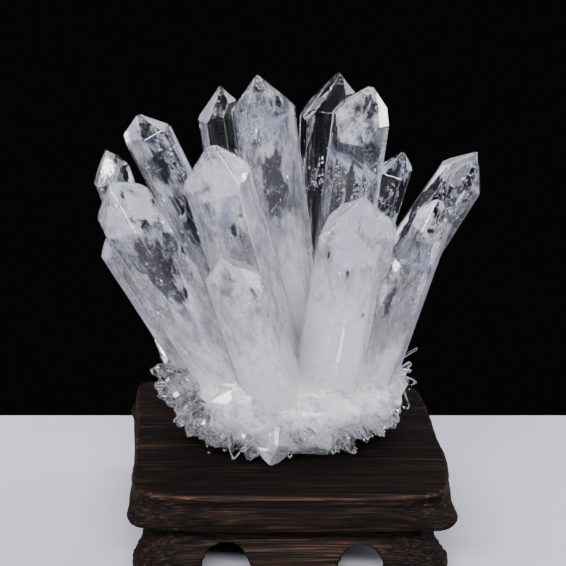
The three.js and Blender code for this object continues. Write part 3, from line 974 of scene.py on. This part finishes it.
def quartz_material():
    """Smooth and clear as glass, with frost, growth lines, painted glints and painted sparkle."""
    material, tree = new_material("natural quartz, clear")
    add = functools.partial(add_node, tree)
    places, (_, haze, height), frosty, (_, streaks, curls, grit) = frost_pattern(add)
    # painted highlights: white patches round the glint marks
    painted_glint = marked(add, places, "painted_glint", grit)
    window = marked(add, places, "window", streaks)
    shut = add("Math", {0: window, 1: -0.8, 2: 0.8}, operation="MULTIPLY_ADD")
    white = add("Math", {0: frosty, 1: shut}, operation="MULTIPLY")
    # painted sparkle: small flat cells, a few in a hundred of which are painted white
    cells = add("TexVoronoi", {"Vector": places["grain"], "Scale": 1 / PAINTED_SPARKLE_CELL}).outputs
    chosen = add("SeparateXYZ", {0: cells["Color"]}).outputs[0]
    chosen = add("Math", {0: chosen, 1: 0.96}, operation="GREATER_THAN")
    dot = add("Math", {0: cells["Distance"], 1: 0.2}, operation="LESS_THAN")
    dot = add("Math", {0: dot, 1: chosen}, operation="MULTIPLY")
    painted_glint = add("Math", {0: painted_glint, 1: dot}, operation="MAXIMUM")
    white = add("Math", {0: white, 1: painted_glint}, operation="MAXIMUM")
    clear = add("Math", {0: 1.0, 1: white}, operation="SUBTRACT")
    # frost is grey, and white on the faces that have most of it; painted glints and painted sparkle
    # cells are white too
    pale = add("MapRange", {"Value": haze, "From Min": 0.85, "From Max": 1.0})
    pale = add("Math", {0: pale, 1: painted_glint}, operation="MAXIMUM")
    frost = add("Mix", {"Factor": pale, "A": linear("9CA0AB"), "B": linear("FFFFFF")},
                data_type="RGBA").outputs[2]
    # the base colour also tints what passes through, so it turns white as frost thins
    thin = add("MapRange", {"Value": clear, "From Min": 0.5, "From Max": 1.0})
    tone = add("Mix", {"Factor": thin, "A": frost, "B": linear("FFFFFF")},
               data_type="RGBA").outputs[2]
    # growth lines across the crystal, and worn pits
    lines = add("TexNoise", {"W": height, "Scale": 1 / LINE_SPACING, "Detail": 2.0},
                noise_dimensions="1D")
    relief = add("Math", {0: grit, 1: 0.4, 2: lines}, operation="MULTIPLY_ADD")
    relief = add("Math", {0: curls, 1: 7.0, 2: relief}, operation="MULTIPLY_ADD")
    # the crust, where the height is 0, never grew a smooth face, so its relief is strong
    rough = add("MapRange", {"Value": height, "From Max": 3.0, "To Min": 1.0, "To Max": 0.12})
    bump = add("Bump", {"Height": relief, "Strength": rough, "Distance": 0.0002})
    shader = add("BsdfPrincipled", {
        "Base Color": tone, "IOR": QUARTZ_IOR, "Transmission Weight": clear, "Normal": bump,
        "Roughness": add("Math", {0: white, 1: 0.3, 2: 0.015}, operation="MULTIPLY_ADD"),
    })
    add("OutputMaterial", {"Surface": shader})
    return material


finish_with(quartz, quartz_material())

# %% [markdown]
# ## Milk
# The milk is gas and water in bubbles too small to see, which scatter light without
# a gloss of their own. A volume shader would be truer, but it is slow and noisy in
# so many joined crystals. So the inner solid scatters below its surface, which
# looks as soft as wax, and its alpha thins it out: full near the crust, torn into
# streaks where it ends, and open at the windows. It is whitest deep down, where it
# is thickest and where its tone is painted lighter too, a painted glow for the light
# that gathers in thick milk, and grey-blue where it is thin, as smoke is.


# %% Milk material
def milk_material():
    """The cloud of tiny bubbles: white, soft, with no gloss of its own."""
    material, tree = new_material("milk of bubbles inside quartz")
    add = functools.partial(add_node, tree)
    places, (reach, _, _), frosty, (clouds, streaks, curls, grit) = frost_pattern(add)
    # deep down the tone is lighter: thicker milk, and a painted glow for the light gathered there
    deep = add("MapRange", {"Value": reach, "From Min": 0.0, "From Max": 0.3, "To Max": 0.45})
    reach = add("Math", {0: clouds, 1: 0.6, 2: reach}, operation="MULTIPLY_ADD")
    reach = add("Math", {0: streaks, 1: 0.6, 2: reach}, operation="MULTIPLY_ADD")
    milky = add("MapRange", {"Value": reach, "From Min": 0.4, "From Max": 0.88},
                interpolation_type="SMOOTHSTEP")
    frosty = add("Math", {0: frosty, 1: 0.75}, operation="MULTIPLY")
    thick = add("Math", {0: milky, 1: frosty}, operation="MAXIMUM")
    window = marked(add, places, "window", streaks)
    shut = add("Math", {0: window, 1: -1.0, 2: 1.0}, operation="MULTIPLY_ADD")
    thick = add("Math", {0: thick, 1: shut}, operation="MULTIPLY")
    faint = add("Math", {0: curls, 1: streaks}, operation="ADD")
    faint = add("Math", {0: grit, 1: 0.5, 2: faint}, operation="MULTIPLY_ADD")
    faint = add("Math", {0: faint, 1: deep}, operation="ADD")
    faint = add("MapRange", {"Value": faint, "From Min": 1.0, "From Max": 1.55})
    tone = add("Mix", {"Factor": faint, "A": linear("9CA2B0"), "B": linear("FFFFFF")},
               data_type="RGBA").outputs[2]
    shader = add("BsdfPrincipled", {
        "Base Color": tone, "Roughness": 0.9, "Specular IOR Level": 0.0, "Alpha": thick,
        "Subsurface Weight": 1.0, "Subsurface Radius": (1.0, 1.0, 1.0), "Subsurface Scale": 0.012})
    add("OutputMaterial", {"Surface": shader})
    return material


finish_with(milk, milk_material())

# %% [markdown]
# ## Painted shade under the windows
# Under the windows the crystals look nearly black, where the clear quartz shows
# the dark room. Mirroring that would need the right room around it. So each window
# has a lens of painted shade, closed, 0.4 mm thick and ragged at its edge, painted
# with the dark tone that the eye sees, with paler specks.


# %% Lenses of painted shade under the windows
SHADE_LENS_FILL = 0.85  # how much of its window a lens of painted shade fills
SHADE_LENS_HALF_THICKNESS = 0.2
SHADE_LENS_WARP = 0.2  # how far a lens of painted shade bends out of its plane


def painted_shade_lenses_mesh():
    """A thin ragged lens of painted shade under each window, square to the way out of the crystal."""
    bm = bmesh.new()
    for name, point, long, wide, deep in MARKS["window"]:
        _, axis = crystal_planes(*CRYSTALS[name])
        foot, point = Vector(CRYSTALS[name][0]), Vector(point)
        outward = point - foot - axis * (point - foot).dot(axis)
        outward.normalize()
        side = axis.cross(outward)
        ball = bmesh.ops.create_icosphere(bm, subdivisions=4, radius=1)
        for vert in ball["verts"]:
            d = vert.co.copy()
            ragged = 1 + 0.5 * noise.fractal(Vector((d.x * 2.2, d.y * 2.2, point.x)), 1.0, 2.0, 4)
            vert.co = (
                point - outward * deep
                + axis * d.x * long * SHADE_LENS_FILL * ragged
                + side * d.y * wide * SHADE_LENS_FILL * ragged
                + outward * (d.z * SHADE_LENS_HALF_THICKNESS + SHADE_LENS_WARP * noise.noise(d * 3 + point)))
    bm.transform(TO_PART)
    bmesh.ops.recalc_face_normals(bm, faces=bm.faces[:])
    return mesh_of(bm, "painted_shade_lenses")


# cracks holds the lenses of painted shade under the windows
cracks = in_scene("painted_shade_lenses", painted_shade_lenses_mesh())
print("dark cracks:", len(cracks.data.polygons), "triangles")


# %% Material of the painted shade
SPECK_SIZE = 2.2  # mm


def painted_shade_lens_material():
    """Painted shade under the windows: dark, broken rough, with pale specks."""
    material, tree = new_material("painted shade under windows in quartz, broken rough")
    add = functools.partial(add_node, tree)
    specks = add("TexNoise", {
        "Vector": add("TexCoord").outputs["Object"], "Scale": 1 / (SPECK_SIZE * MM),
        "Detail": 6.0, "Roughness": 0.7})
    shade = add("ValToRGB", {"Fac": specks})
    dark, pale = shade.color_ramp.elements
    dark.position, dark.color = 0.56, linear("08090B")
    pale.position, pale.color = 0.72, linear("9CA3B4")
    shader = add("BsdfPrincipled", {"Base Color": shade, "Roughness": 0.35})
    add("OutputMaterial", {"Surface": shader})
    return material


finish_with(cracks, painted_shade_lens_material())

# %% [markdown]
# ## Veils inside the crystals
# Clear quartz is crossed by healed cracks: sheets of tiny flat cavities that
# glitter like crushed ice. They could be painted on, but then they would not shift
# against the faces when the eye moves. So each veil is a loose sheet of small flat
# flakes, every one a closed lens 0.08 mm thick, kept well inside its crystal. The
# flakes gather in drifts, where a noise says that the crack healed badly, and most
# are finer than half a millimetre. Each flake carries its own tint, because a thin
# film of air shows white or bluish by its thickness.

# %% Flakes
# crystal: veils, tries for a flake in each, from and to along the crystal
VEILS = {
    "front_left": (12, 260, 0.5, 0.93), "front_left_twin": (2, 120, 0.5, 0.9),
    "far_left": (6, 220, 0.55, 0.95), "upper_left": (11, 260, 0.45, 0.92),
    "centre_left": (7, 200, 0.6, 0.92), "tall_centre": (11, 260, 0.5, 0.95),
    "behind_centre": (5, 220, 0.6, 0.95), "tall_right_rear": (3, 240, 0.45, 0.9),
    "tall_right": (10, 300, 0.45, 0.95), "small_right_rear": (6, 200, 0.5, 0.95),
    "far_right": (18, 300, 0.4, 0.95), "front_right": (7, 200, 0.45, 0.93),
    "low_right": (4, 160, 0.5, 0.85), "rear_left": (5, 200, 0.5, 0.9),
    "rear_centre": (5, 200, 0.5, 0.9), "rear_right": (4, 200, 0.5, 0.9),
    "side_right": (2, 120, 0.5, 0.9), "side_left": (2, 120, 0.5, 0.9),
}
FLAKE_SIZES = (0.12, 0.8)  # half-widths, mm; most are near the smaller
FLAKE_HALF_THICKNESS = 0.04
VEIL_MARGIN = 0.45  # least depth under a face, mm
FULL_TURN = 6.28  # radians


def flake(middle, normal, half, rng):
    """The corners of one flat lens: a ring of four and a point above and below."""
    across = normal.orthogonal().normalized()
    other = normal.cross(across)
    turn = rng.uniform(0, FULL_TURN)
    stretch = rng.uniform(0.35, 1)
    ring = []
    for k in range(4):
        a = turn + k * math.pi / 2
        r = half * rng.uniform(0.6, 1)
        ring.append(middle + across * r * math.cos(a) + other * r * stretch * math.sin(a))
    rise = normal * FLAKE_HALF_THICKNESS
    return ring + [middle + rise, middle - rise]


def veil(crystal, low, high, count, rng):
    """The flakes of one bent sheet inside a crystal: each one's corners and tint."""
    foot, tip, width = Vector(crystal[0]), Vector(crystal[1]), crystal[2]
    planes, axis = crystal_planes(*crystal)
    normals, reach = plane_arrays(planes)
    around = Matrix.Rotation(rng.uniform(0, FULL_TURN), 3, axis) @ axis.orthogonal().normalized()
    middle = foot.lerp(tip, rng.uniform(low, high)) + around * width * rng.uniform(0, 0.35)
    normal = (around + axis * rng.uniform(-1.2, 1.2)).normalized()
    u = Matrix.Rotation(rng.uniform(0, FULL_TURN), 3, normal) @ normal.orthogonal().normalized()
    v = normal.cross(u)
    long, wide = width * rng.uniform(0.25, 0.6), width * rng.uniform(0.1, 0.3)
    bend = rng.uniform(-0.06, 0.06)
    flakes = []
    for _ in range(count):
        a, b = rng.gauss(0, 0.5) * long, rng.gauss(0, 0.5) * wide
        spot = middle + u * a + v * b + normal * (bend * a * a + rng.gauss(0, 0.12))
        half = FLAKE_SIZES[0] + (FLAKE_SIZES[1] - FLAKE_SIZES[0]) * rng.random() ** 4
        tint = rng.random()
        tilt = (normal + Vector([rng.gauss(0, 0.3) for _ in range(3)])).normalized()
        if noise.fractal(spot * 0.45, 1.0, 2.0, 3) < 0:  # between the drifts
            continue
        shape = flake(spot, tilt, half, rng)
        if (normals @ np.array(shape).T - reach[:, None]).max() <= -VEIL_MARGIN:
            flakes.append((shape, tint))
    return flakes


def veils_mesh():
    """All the flakes of all the veils in one mesh, in metres, with a tint on each."""
    rng = random.Random(23)
    corners, faces, tints = [], [], []
    for name, (count, tries, low, high) in VEILS.items():
        for _ in range(count):
            for shape, tint in veil(CRYSTALS[name], low, high, tries, rng):
                base = len(corners)
                corners.extend(shape)
                for k in range(4):
                    j = (k + 1) % 4
                    faces.append((base + k, base + j, base + 4))
                    faces.append((base + j, base + k, base + 5))
                    tints.extend([tint, tint])
    mesh = bpy.data.meshes.new("inner_veils")
    mesh.from_pydata([tuple(Vector(c) * MM + SHIFT) for c in corners], [], faces)
    face_tag(mesh, "tint", tints)
    return mesh


veils = in_scene("inner_veils", veils_mesh())
print("veils:", len(veils.data.polygons), "triangles")


# %% Veil material
def veil_material():
    """Air-filled cracks: they mirror nearly all the light that meets them aslant."""
    material, tree = new_material("healed cracks in quartz, air-filled")
    add = functools.partial(add_node, tree)
    tint = add("Attribute", attribute_name="tint").outputs["Fac"]
    shade = add("ValToRGB", {"Fac": tint})
    shade.color_ramp.elements[0].color = linear("FFFFFF")
    shade.color_ramp.elements[1].color = linear("8FA3D6")
    shade.color_ramp.elements.new(0.7).color = linear("E6EAF6")
    shader = add("BsdfPrincipled", {
        "Base Color": shade, "Roughness": 0.2, "IOR": QUARTZ_IOR, "Specular IOR Level": 1.0})
    add("OutputMaterial", {"Surface": shader})
    return material


finish_with(veils, veil_material())

# %% [markdown]
# ## Wisps
# Between the milk and the clear end hang thin curved clouds, where bubbles settled
# on a face that the crystal later grew over. Each is a closed lens 0.1 mm thick,
# bent and rippled, and squeezed where it would leave its crystal. Its material
# tears it into streaks that run along the growth, so that it looks like breath on
# cold glass and not like a solid sheet.

# %% Wisps
# crystal: wisps, from and to along the crystal
WISPS = {
    "front_left": (7, 0.55, 0.85), "far_left": (3, 0.6, 0.9), "upper_left": (7, 0.5, 0.9),
    "centre_left": (3, 0.6, 0.8), "tall_centre": (6, 0.55, 0.92), "behind_centre": (2, 0.65, 0.92),
    "tall_right": (3, 0.5, 0.88), "small_right_rear": (7, 0.5, 0.92),
    "far_right": (8, 0.55, 0.92), "front_right": (3, 0.5, 0.85), "rear_left": (4, 0.5, 0.85),
    "rear_centre": (4, 0.5, 0.85), "rear_right": (4, 0.5, 0.85), "side_right": (2, 0.5, 0.85),
    "side_left": (2, 0.5, 0.85),
}
WISP_HALF_THICKNESS = 0.05
WISP_MARGIN = 0.8  # least depth of a wisp below the veils' own margin, mm
WISP_RIPPLE = 1.6  # mm
STREAK = 0.25  # how much the cloud is drawn out along the growth
TOWARDS = 1e-9  # a corner goes towards a plane when it moves out by more than this, mm


def add_wisp(bm, crystal, low, high, rng):
    """Adds one closed lens, squeezed to stay inside its crystal."""
    foot, tip, width = Vector(crystal[0]), Vector(crystal[1]), crystal[2]
    planes, axis = crystal_planes(*crystal)
    around = Matrix.Rotation(rng.uniform(0, FULL_TURN), 3, axis) @ axis.orthogonal().normalized()
    middle = foot.lerp(tip, rng.uniform(low, high)) + around * width * rng.uniform(0, 0.22)
    normal = (around + axis * rng.uniform(-0.5, 0.5)).normalized()
    long_way = (axis - normal * axis.dot(normal)).normalized()
    long_way = Matrix.Rotation(rng.gauss(0, 0.5), 3, normal) @ long_way
    wide_way = normal.cross(long_way)
    long, wide = width * rng.uniform(0.35, 0.95), width * rng.uniform(0.22, 0.5)
    bend, twist = rng.uniform(-0.3, 0.3) * wide, rng.uniform(-0.3, 0.3) * wide
    edge, weave = bm.verts.layers.float["middle"], bm.verts.layers.float_vector["weave"]
    for vert in bmesh.ops.create_icosphere(bm, subdivisions=4, radius=1)["verts"]:
        d = vert.co.copy()
        ripple = noise.noise(Vector((d.x * 2, d.y * 2, middle.x))) * WISP_RIPPLE
        rise = d.z * WISP_HALF_THICKNESS + bend * d.y * d.y + twist * d.x * d.y + ripple
        gap = long_way * d.x * long + wide_way * d.y * wide + normal * rise
        fit = 1.0
        for n, reach in planes:
            if n.dot(gap) > TOWARDS:
                room = reach - VEIL_MARGIN - WISP_MARGIN - n.dot(middle)
                fit = min(fit, room / n.dot(gap))
        vert.co = middle + gap * max(fit, 0.05)
        vert[edge] = 1 - d.x * d.x - d.y * d.y
        vert[weave] = (d.x * long * STREAK, d.y * wide, middle.x + middle.z)


def wisps_mesh():
    """All the wisps, in metres, with numbers that shape the cloud on each corner."""
    rng = random.Random(41)
    bm = bmesh.new()
    bm.verts.layers.float.new("middle")
    bm.verts.layers.float_vector.new("weave")
    for name, (count, low, high) in WISPS.items():
        for _ in range(count):
            add_wisp(bm, CRYSTALS[name], low, high, rng)
    bm.transform(TO_PART)
    return mesh_of(bm, "inner_wisps")


wisps = in_scene("inner_wisps", wisps_mesh())
print("wisps:", len(wisps.data.polygons), "triangles")


# %% Wisp material
def wisp_material():
    """Bubbles far apart: a thin cloud with torn edges, bluish where it is thinnest."""
    material, tree = new_material("wisps of bubbles inside quartz")
    add = functools.partial(add_node, tree)
    weave = add("Attribute", attribute_name="weave").outputs["Vector"]
    middle = add("Attribute", attribute_name="middle").outputs["Fac"]
    cloud, fine = [
        add("TexNoise", {
            "Vector": weave, "Scale": 1 / size, "Detail": 8.0, "Roughness": rough,
            "Distortion": swirl}).outputs["Fac"]
        for size, rough, swirl in ((3.5, 0.6, 0.8), (0.8, 0.7, 0.2))]
    level = add("Math", {0: middle, 1: 0.3, 2: cloud}, operation="MULTIPLY_ADD")
    level = add("Math", {0: fine, 1: 0.5, 2: level}, operation="MULTIPLY_ADD")
    thick = add("MapRange", {
        "Value": level, "From Min": 0.88, "From Max": 1.2, "To Max": 0.85})
    inner = add("MapRange", {"Value": middle, "From Min": 0.0, "From Max": 0.25})
    thick = add("Math", {0: thick, 1: inner}, operation="MULTIPLY")
    tone = add("Mix", {"Factor": thick, "A": linear("ACB9E2"), "B": linear("FBFCFF")},
               data_type="RGBA").outputs[2]
    shader = add("BsdfPrincipled", {
        "Base Color": tone, "Roughness": 0.4, "Alpha": thick, "Specular IOR Level": 0.3})
    add("OutputMaterial", {"Surface": shader})
    return material


finish_with(wisps, wisp_material())

# %% [markdown]
# ## The carved stand
# The stand is one block of wood. The maker sawed its outline, turned the side into
# a moulding with a cove under a rounded lip, swelled it at the four ears, cut arches
# through all four sides and hollowed the underside. Here one outline is repeated up
# the moulding's profile, and booleans cut the arches and the hollow, in the order
# that a carver would work.

# %% The stand as a fine mesh
EAR_CRISP = 0.5  # the carver set the ears off more sharply than a plain swelling does
STAND_POINTS = 300  # around the outline
STAND_LEVELS = 4  # rings from one height of the profile to the next


def join_rings(bm, lower, upper):
    """Faces between two rings of as many corners, side by side."""
    for i in range(len(lower)):
        j = (i + 1) % len(lower)
        bm.faces.new((lower[i], lower[j], upper[j], upper[i]))


def stand_solid():
    """The moulding before any carving: the outline repeated up the profile."""
    edge, out, ear = stand_outline(STAND_POINTS)
    _, _, crisp_ear = stand_outline(STAND_POINTS, EAR_CRISP)
    heights, swell, swell_at_ear = np.array(STAND_PROFILE, float).T
    levels = [
        level for low, high in zip(heights[:-1], heights[1:])
        for level in np.linspace(low, high, STAND_LEVELS + 1)[:-1]]
    levels.append(heights[-1])
    bm = bmesh.new()
    rings = []
    for z in levels:
        r = np.interp(z, heights, swell)
        e = np.interp(z, heights, swell_at_ear)
        places = edge + out * (r + e * (crisp_ear if e > 0 else ear))[:, None]
        rings.append([bm.verts.new((x, y, z)) for x, y in places])
    for lower, upper in zip(rings[:-1], rings[1:]):
        join_rings(bm, lower, upper)
    bm.faces.new(rings[-1])
    bm.faces.new(rings[0][::-1])
    return mesh_of(bm, "stand")


solid = stand_solid()
print("stand before carving:", len(solid.polygons), "faces")


# %% Arches and hollow
CAVITY_HALF = (47, 29)
CAVITY_HEIGHT = 13
# offset, width, height, rounding, runs along X
OPENINGS = [(-24, 19, 18, 9.4, False), (28, 18, 17, 8.9, False), (0, 66, 15.5, 8, True)]
ARC_STEPS = 10
CUT_BELOW = -10  # a cutter starts this far below the foot
CUT_REACH = 100  # and runs this far to both sides


def opening_mesh(offset, width, top, rounding, along_x):
    """The cutter of one arch: its outline, drawn from one side of the stand to the other."""
    half = width / 2
    outline = [(-half, CUT_BELOW), (half, CUT_BELOW)]
    for corner in (0, 1):
        centre = rounding - half if corner else half - rounding
        for k in range(ARC_STEPS + 1):
            t = math.pi / 2 * (corner + k / ARC_STEPS)
            outline.append((centre + rounding * math.cos(t), top - rounding + rounding * math.sin(t)))
    bm = bmesh.new()
    ends = []
    for far in (-CUT_REACH, CUT_REACH):
        places = [(far, offset + a, z) if along_x else (offset + a, far, z) for a, z in outline]
        ends.append([bm.verts.new(place) for place in places])
    bm.faces.new(ends[0])
    bm.faces.new(ends[1][::-1])
    join_rings(bm, *ends)
    bmesh.ops.recalc_face_normals(bm, faces=bm.faces[:])
    return mesh_of(bm, "opening")


def cavity_mesh():
    """The cutter of the hollow in the underside, half of it below the foot."""
    bm = bmesh.new()
    bmesh.ops.create_cube(bm, size=2)
    for vert in bm.verts:
        vert.co = vert.co * Vector((*CAVITY_HALF, CAVITY_HEIGHT))
    return mesh_of(bm, "cavity")


def apply_modifiers(thing):
    """Makes the modified shape of an object its own mesh."""
    shown = thing.evaluated_get(bpy.context.evaluated_depsgraph_get())
    mesh = bpy.data.meshes.new_from_object(shown)
    thing.modifiers.clear()
    thing.data = mesh


def carve(thing, cutters):
    """Takes one cutter after another out of an object."""
    for cutter in cutters:
        tool = in_scene("cutter", cutter)
        cut = thing.modifiers.new("cut", "BOOLEAN")
        cut.operation, cut.solver, cut.object = "DIFFERENCE", "EXACT", tool
        apply_modifiers(thing)
        bpy.data.objects.remove(tool)


stand = in_scene("stand", solid)
carve(stand, [cavity_mesh()] + [opening_mesh(*o) for o in OPENINGS])
print("carved stand:", len(stand.data.polygons), "faces")

# %% [markdown]
# ## Wood grain in relief
# The block was brushed or burnt, which digs the soft wood out from between the hard
# lines of the grain. So the grain is real relief: the carved mesh is rebuilt from
# small cells, 0.7 mm across the grain and 1.5 mm along it, and each corner sinks by
# how soft the wood is there. The lines run along the stand's length, a little over
# a millimetre apart, and wander as grain does.

# %% Fine cells
WOOD_CELL = 0.7  # across the grain, mm
STRETCH = 2.2  # how many times as long a cell is along the grain
for vert in stand.data.vertices:
    vert.co.x /= STRETCH
remesh = stand.modifiers.new("cells", "REMESH")
remesh.mode, remesh.voxel_size, remesh.adaptivity = "VOXEL", WOOD_CELL, 0
apply_modifiers(stand)
for vert in stand.data.vertices:
    vert.co.x *= STRETCH
print("fine stand:", len(stand.data.polygons), "faces")

# %% Grain ridges
RIDGE_SPACING = 1.2
RIDGE_DEPTH = 0.25
TOP_EDGE = (39.8, 40.8, 41.4, 41.7)  # heights between which hands have rubbed the edge pale, with a painted highlight line along it
TOP_EDGE_WEAR_AND_HIGHLIGHT = (0, 0.6, 0.6, 0)  # how much, at each of those heights
TOP_PAINTED_SHADE = 0.3  # painted shade: how much darker the flat top is painted, where the lamp above lights it more
GRAIN_STRETCH = 0.012  # across to along, how long the lines run
WANDER = 6  # how far the lines wander from straight, mm


def grain_line(place):
    """0 in a soft furrow, 1 on a hard line."""
    wander = noise.noise(Vector((place.x * 0.011, place.y * 0.02, place.z * 0.02))) * WANDER
    point = Vector((place.x * GRAIN_STRETCH, place.y + wander, place.z + wander)) / RIDGE_SPACING
    broad = noise.noise(point * 1.2)
    fine = noise.noise(point * 2.6 + Vector((9, 4, 2)))
    return min(max(0.5 + 0.75 * broad + 0.35 * fine, 0), 1)


mesh = stand.data
normals = read(mesh.vertices, "normal", np.float32, 3)
lines = np.zeros(len(mesh.vertices), np.float32)
for i, vert in enumerate(mesh.vertices):
    worn = np.interp(vert.co.z, TOP_EDGE, TOP_EDGE_WEAR_AND_HIGHLIGHT)
    lines[i] = grain_line(vert.co)
    vert.co -= Vector(normals[i]) * RIDGE_DEPTH * (1 - lines[i])
    # rubbed wear and a painted highlight line along the top edge
    lines[i] += worn
    # painted shade on the flat top
    if vert.co.z > TOP_EDGE[-1]:
        lines[i] -= TOP_PAINTED_SHADE
layer = mesh.attributes.new("line", "FLOAT", "POINT")
layer.data.foreach_set("value", lines)
mesh.transform(TO_PART)
mesh.polygons.foreach_set("use_smooth", [True] * len(mesh.polygons))
stand.name = "carved_stand"
print("ridged stand: hard lines on", round(100 * float((lines > 0.5).mean())), "percent of it")

# %% [markdown]
# ## Dark hardwood
# The stand is carved from a dense tropical wood stained nearly black and rubbed
# with wax: furrows stay black, and the hard lines are rubbed back to brown, most of
# all along the lip, where hands touch it; there the lip is also painted paler as a
# painted highlight line, and the flat top is painted darker as painted shade.
# Fibres 0.45 mm wide and eighty times as long break the colour up. They are drawn
# about twice as coarse as real fibres, to show at all. The wax gives the ridges a
# soft gleam, and the furrows none.


# %% Wood material
def wood_material():
    """Black in the furrows, brown on the hard lines, with fibres along X."""
    material, tree = new_material("dark hardwood, carved, brushed and waxed")
    add = functools.partial(add_node, tree)
    place = add("TexCoord").outputs["Object"]
    # line: the grain, the rubbed edge with its painted highlight, less the painted shade of the top
    line = add("Attribute", attribute_name="line").outputs["Fac"]
    # squeezed along X, so that the noise runs out into fibres
    fibres, patches = [
        add("TexNoise", {
            "Vector": add("Mapping", {"Vector": place, "Scale": (squeeze, 1, 1)}),
            "Scale": 1 / (size * MM), "Detail": 6.0, "Roughness": 0.6}).outputs["Fac"]
        for size, squeeze in ((0.45, 0.012), (14, 0.35))]
    level = add("Math", {0: fibres, 1: 1.7, 2: -0.71}, operation="MULTIPLY_ADD")
    level = add("Math", {0: line, 1: 0.3, 2: level}, operation="MULTIPLY_ADD")
    level = add("Math", {0: patches, 1: 0.35, 2: level}, operation="MULTIPLY_ADD")
    shade = add("ValToRGB", {"Fac": level})
    black, brown = shade.color_ramp.elements
    black.position, black.color = 0.3, linear("050403")
    brown.position, brown.color = 0.94, linear("5E3F31")
    shade.color_ramp.elements.new(0.55).color = linear("150E0A")
    shade.color_ramp.elements.new(0.76).color = linear("2F1E15")
    bump = add("Bump", {"Height": fibres, "Strength": 0.5, "Distance": 0.0003})
    gloss = add("MapRange", {
        "Value": level, "From Min": 0.3, "From Max": 0.8, "To Min": 0.75, "To Max": 0.5})
    shader = add("BsdfPrincipled", {
        "Base Color": shade, "Roughness": gloss, "Normal": bump, "Specular IOR Level": 0.06})
    add("OutputMaterial", {"Surface": shader})
    return material


finish_with(stand, wood_material())

# %% [markdown]
# ## Floor and light
# Glass-clear things show what is around them. A dark room keeps the clear crystals
# dark. The main lamp is a wide, low strip in front: its height was worked out from
# the directions that the front faces mirror, so that it lights the milk without
# washing out the faces. A lamp above and behind draws the upper edges, two small
# ones at the sides shape the flanks, and a dim ceiling gives the sloping faces
# something to mirror. The pale floor ends behind the stand, so that the crystals
# stand against the dark.


# %% Lamps
# place and size in metres, power in watts
LAMPS = {
    "softbox above": ((0, 0.35, 1.05), (1.1, 0.9), 16),
    "softbox front": ((-0.1, -0.92, 1.02), (1.5, 0.3), 54),
    "softbox left": ((-0.9, -0.25, 0.88), (0.5, 0.5), 6),
    "softbox right": ((1.0, 0.22, 0.62), (0.6, 0.6), 10),
}
LAMP_COLOUR = "FBF8FF"
AIM = Vector((0, 0, 0.1))


def add_light(name, place, size, power):
    """A rectangular lamp, turned to the crystals."""
    data = bpy.data.lights.new(name, "AREA")
    data.shape, data.size, data.size_y = "RECTANGLE", *size
    data.energy = power
    data.color = linear(LAMP_COLOUR)[:3]
    light = in_scene(name, data)
    light.location = place
    light.rotation_euler = (AIM - Vector(place)).to_track_quat("-Z", "Y").to_euler()


for name, (place, size, power) in LAMPS.items():
    add_light(name, place, size, power)
print("lamps:", len(LAMPS), "with", sum(power for _, _, power in LAMPS.values()), "watts")

# %% The dark room and its ceiling
world = bpy.data.worlds.new("dark room")
bpy.context.scene.world = world
world.use_nodes = True
tree = world.node_tree
way = add_node(tree, "TexCoord").outputs["Generated"]
height = add_node(tree, "SeparateXYZ", {0: way}).outputs["Z"]
ceiling = add_node(tree, "MapRange", {
    "Value": height, "From Min": 0.35, "From Max": 0.95}, interpolation_type="SMOOTHSTEP")
colour = add_node(tree, "Mix", {
    "Factor": ceiling, "A": linear("0A0A0B"), "B": linear("767C8E")}, data_type="RGBA").outputs[2]
tree.links.new(colour, tree.nodes["Background"].inputs["Color"])
print("room:", world.name)

# %% The floor
FLOOR_REACH = 900  # to the front and to both sides, mm
FLOOR_BACK = 88  # how far it runs behind the stand's middle, mm
bm = bmesh.new()
corners = [
    (-FLOOR_REACH, -FLOOR_REACH), (FLOOR_REACH, -FLOOR_REACH),
    (FLOOR_REACH, FLOOR_BACK), (-FLOOR_REACH, FLOOR_BACK)]
bm.faces.new([bm.verts.new((x * MM + SHIFT.x, y * MM + SHIFT.y, 0)) for x, y in corners])
floor = in_scene("floor", mesh_of(bm, "floor"))
material, tree = new_material("matt white board")
shader = add_node(tree, "BsdfPrincipled", {"Base Color": linear("9C9EA5"), "Roughness": 0.9})
add_node(tree, "OutputMaterial", {"Surface": shader})
finish_with(floor, material)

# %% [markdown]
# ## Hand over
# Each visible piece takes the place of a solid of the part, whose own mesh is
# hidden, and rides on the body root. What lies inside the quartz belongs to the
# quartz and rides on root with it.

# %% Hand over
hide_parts("quartz_cluster")
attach(quartz, "root")
for inner in (milk, cracks, wisps, veils):
    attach(inner, "root")
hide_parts("wooden_stand")
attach(stand, "root")
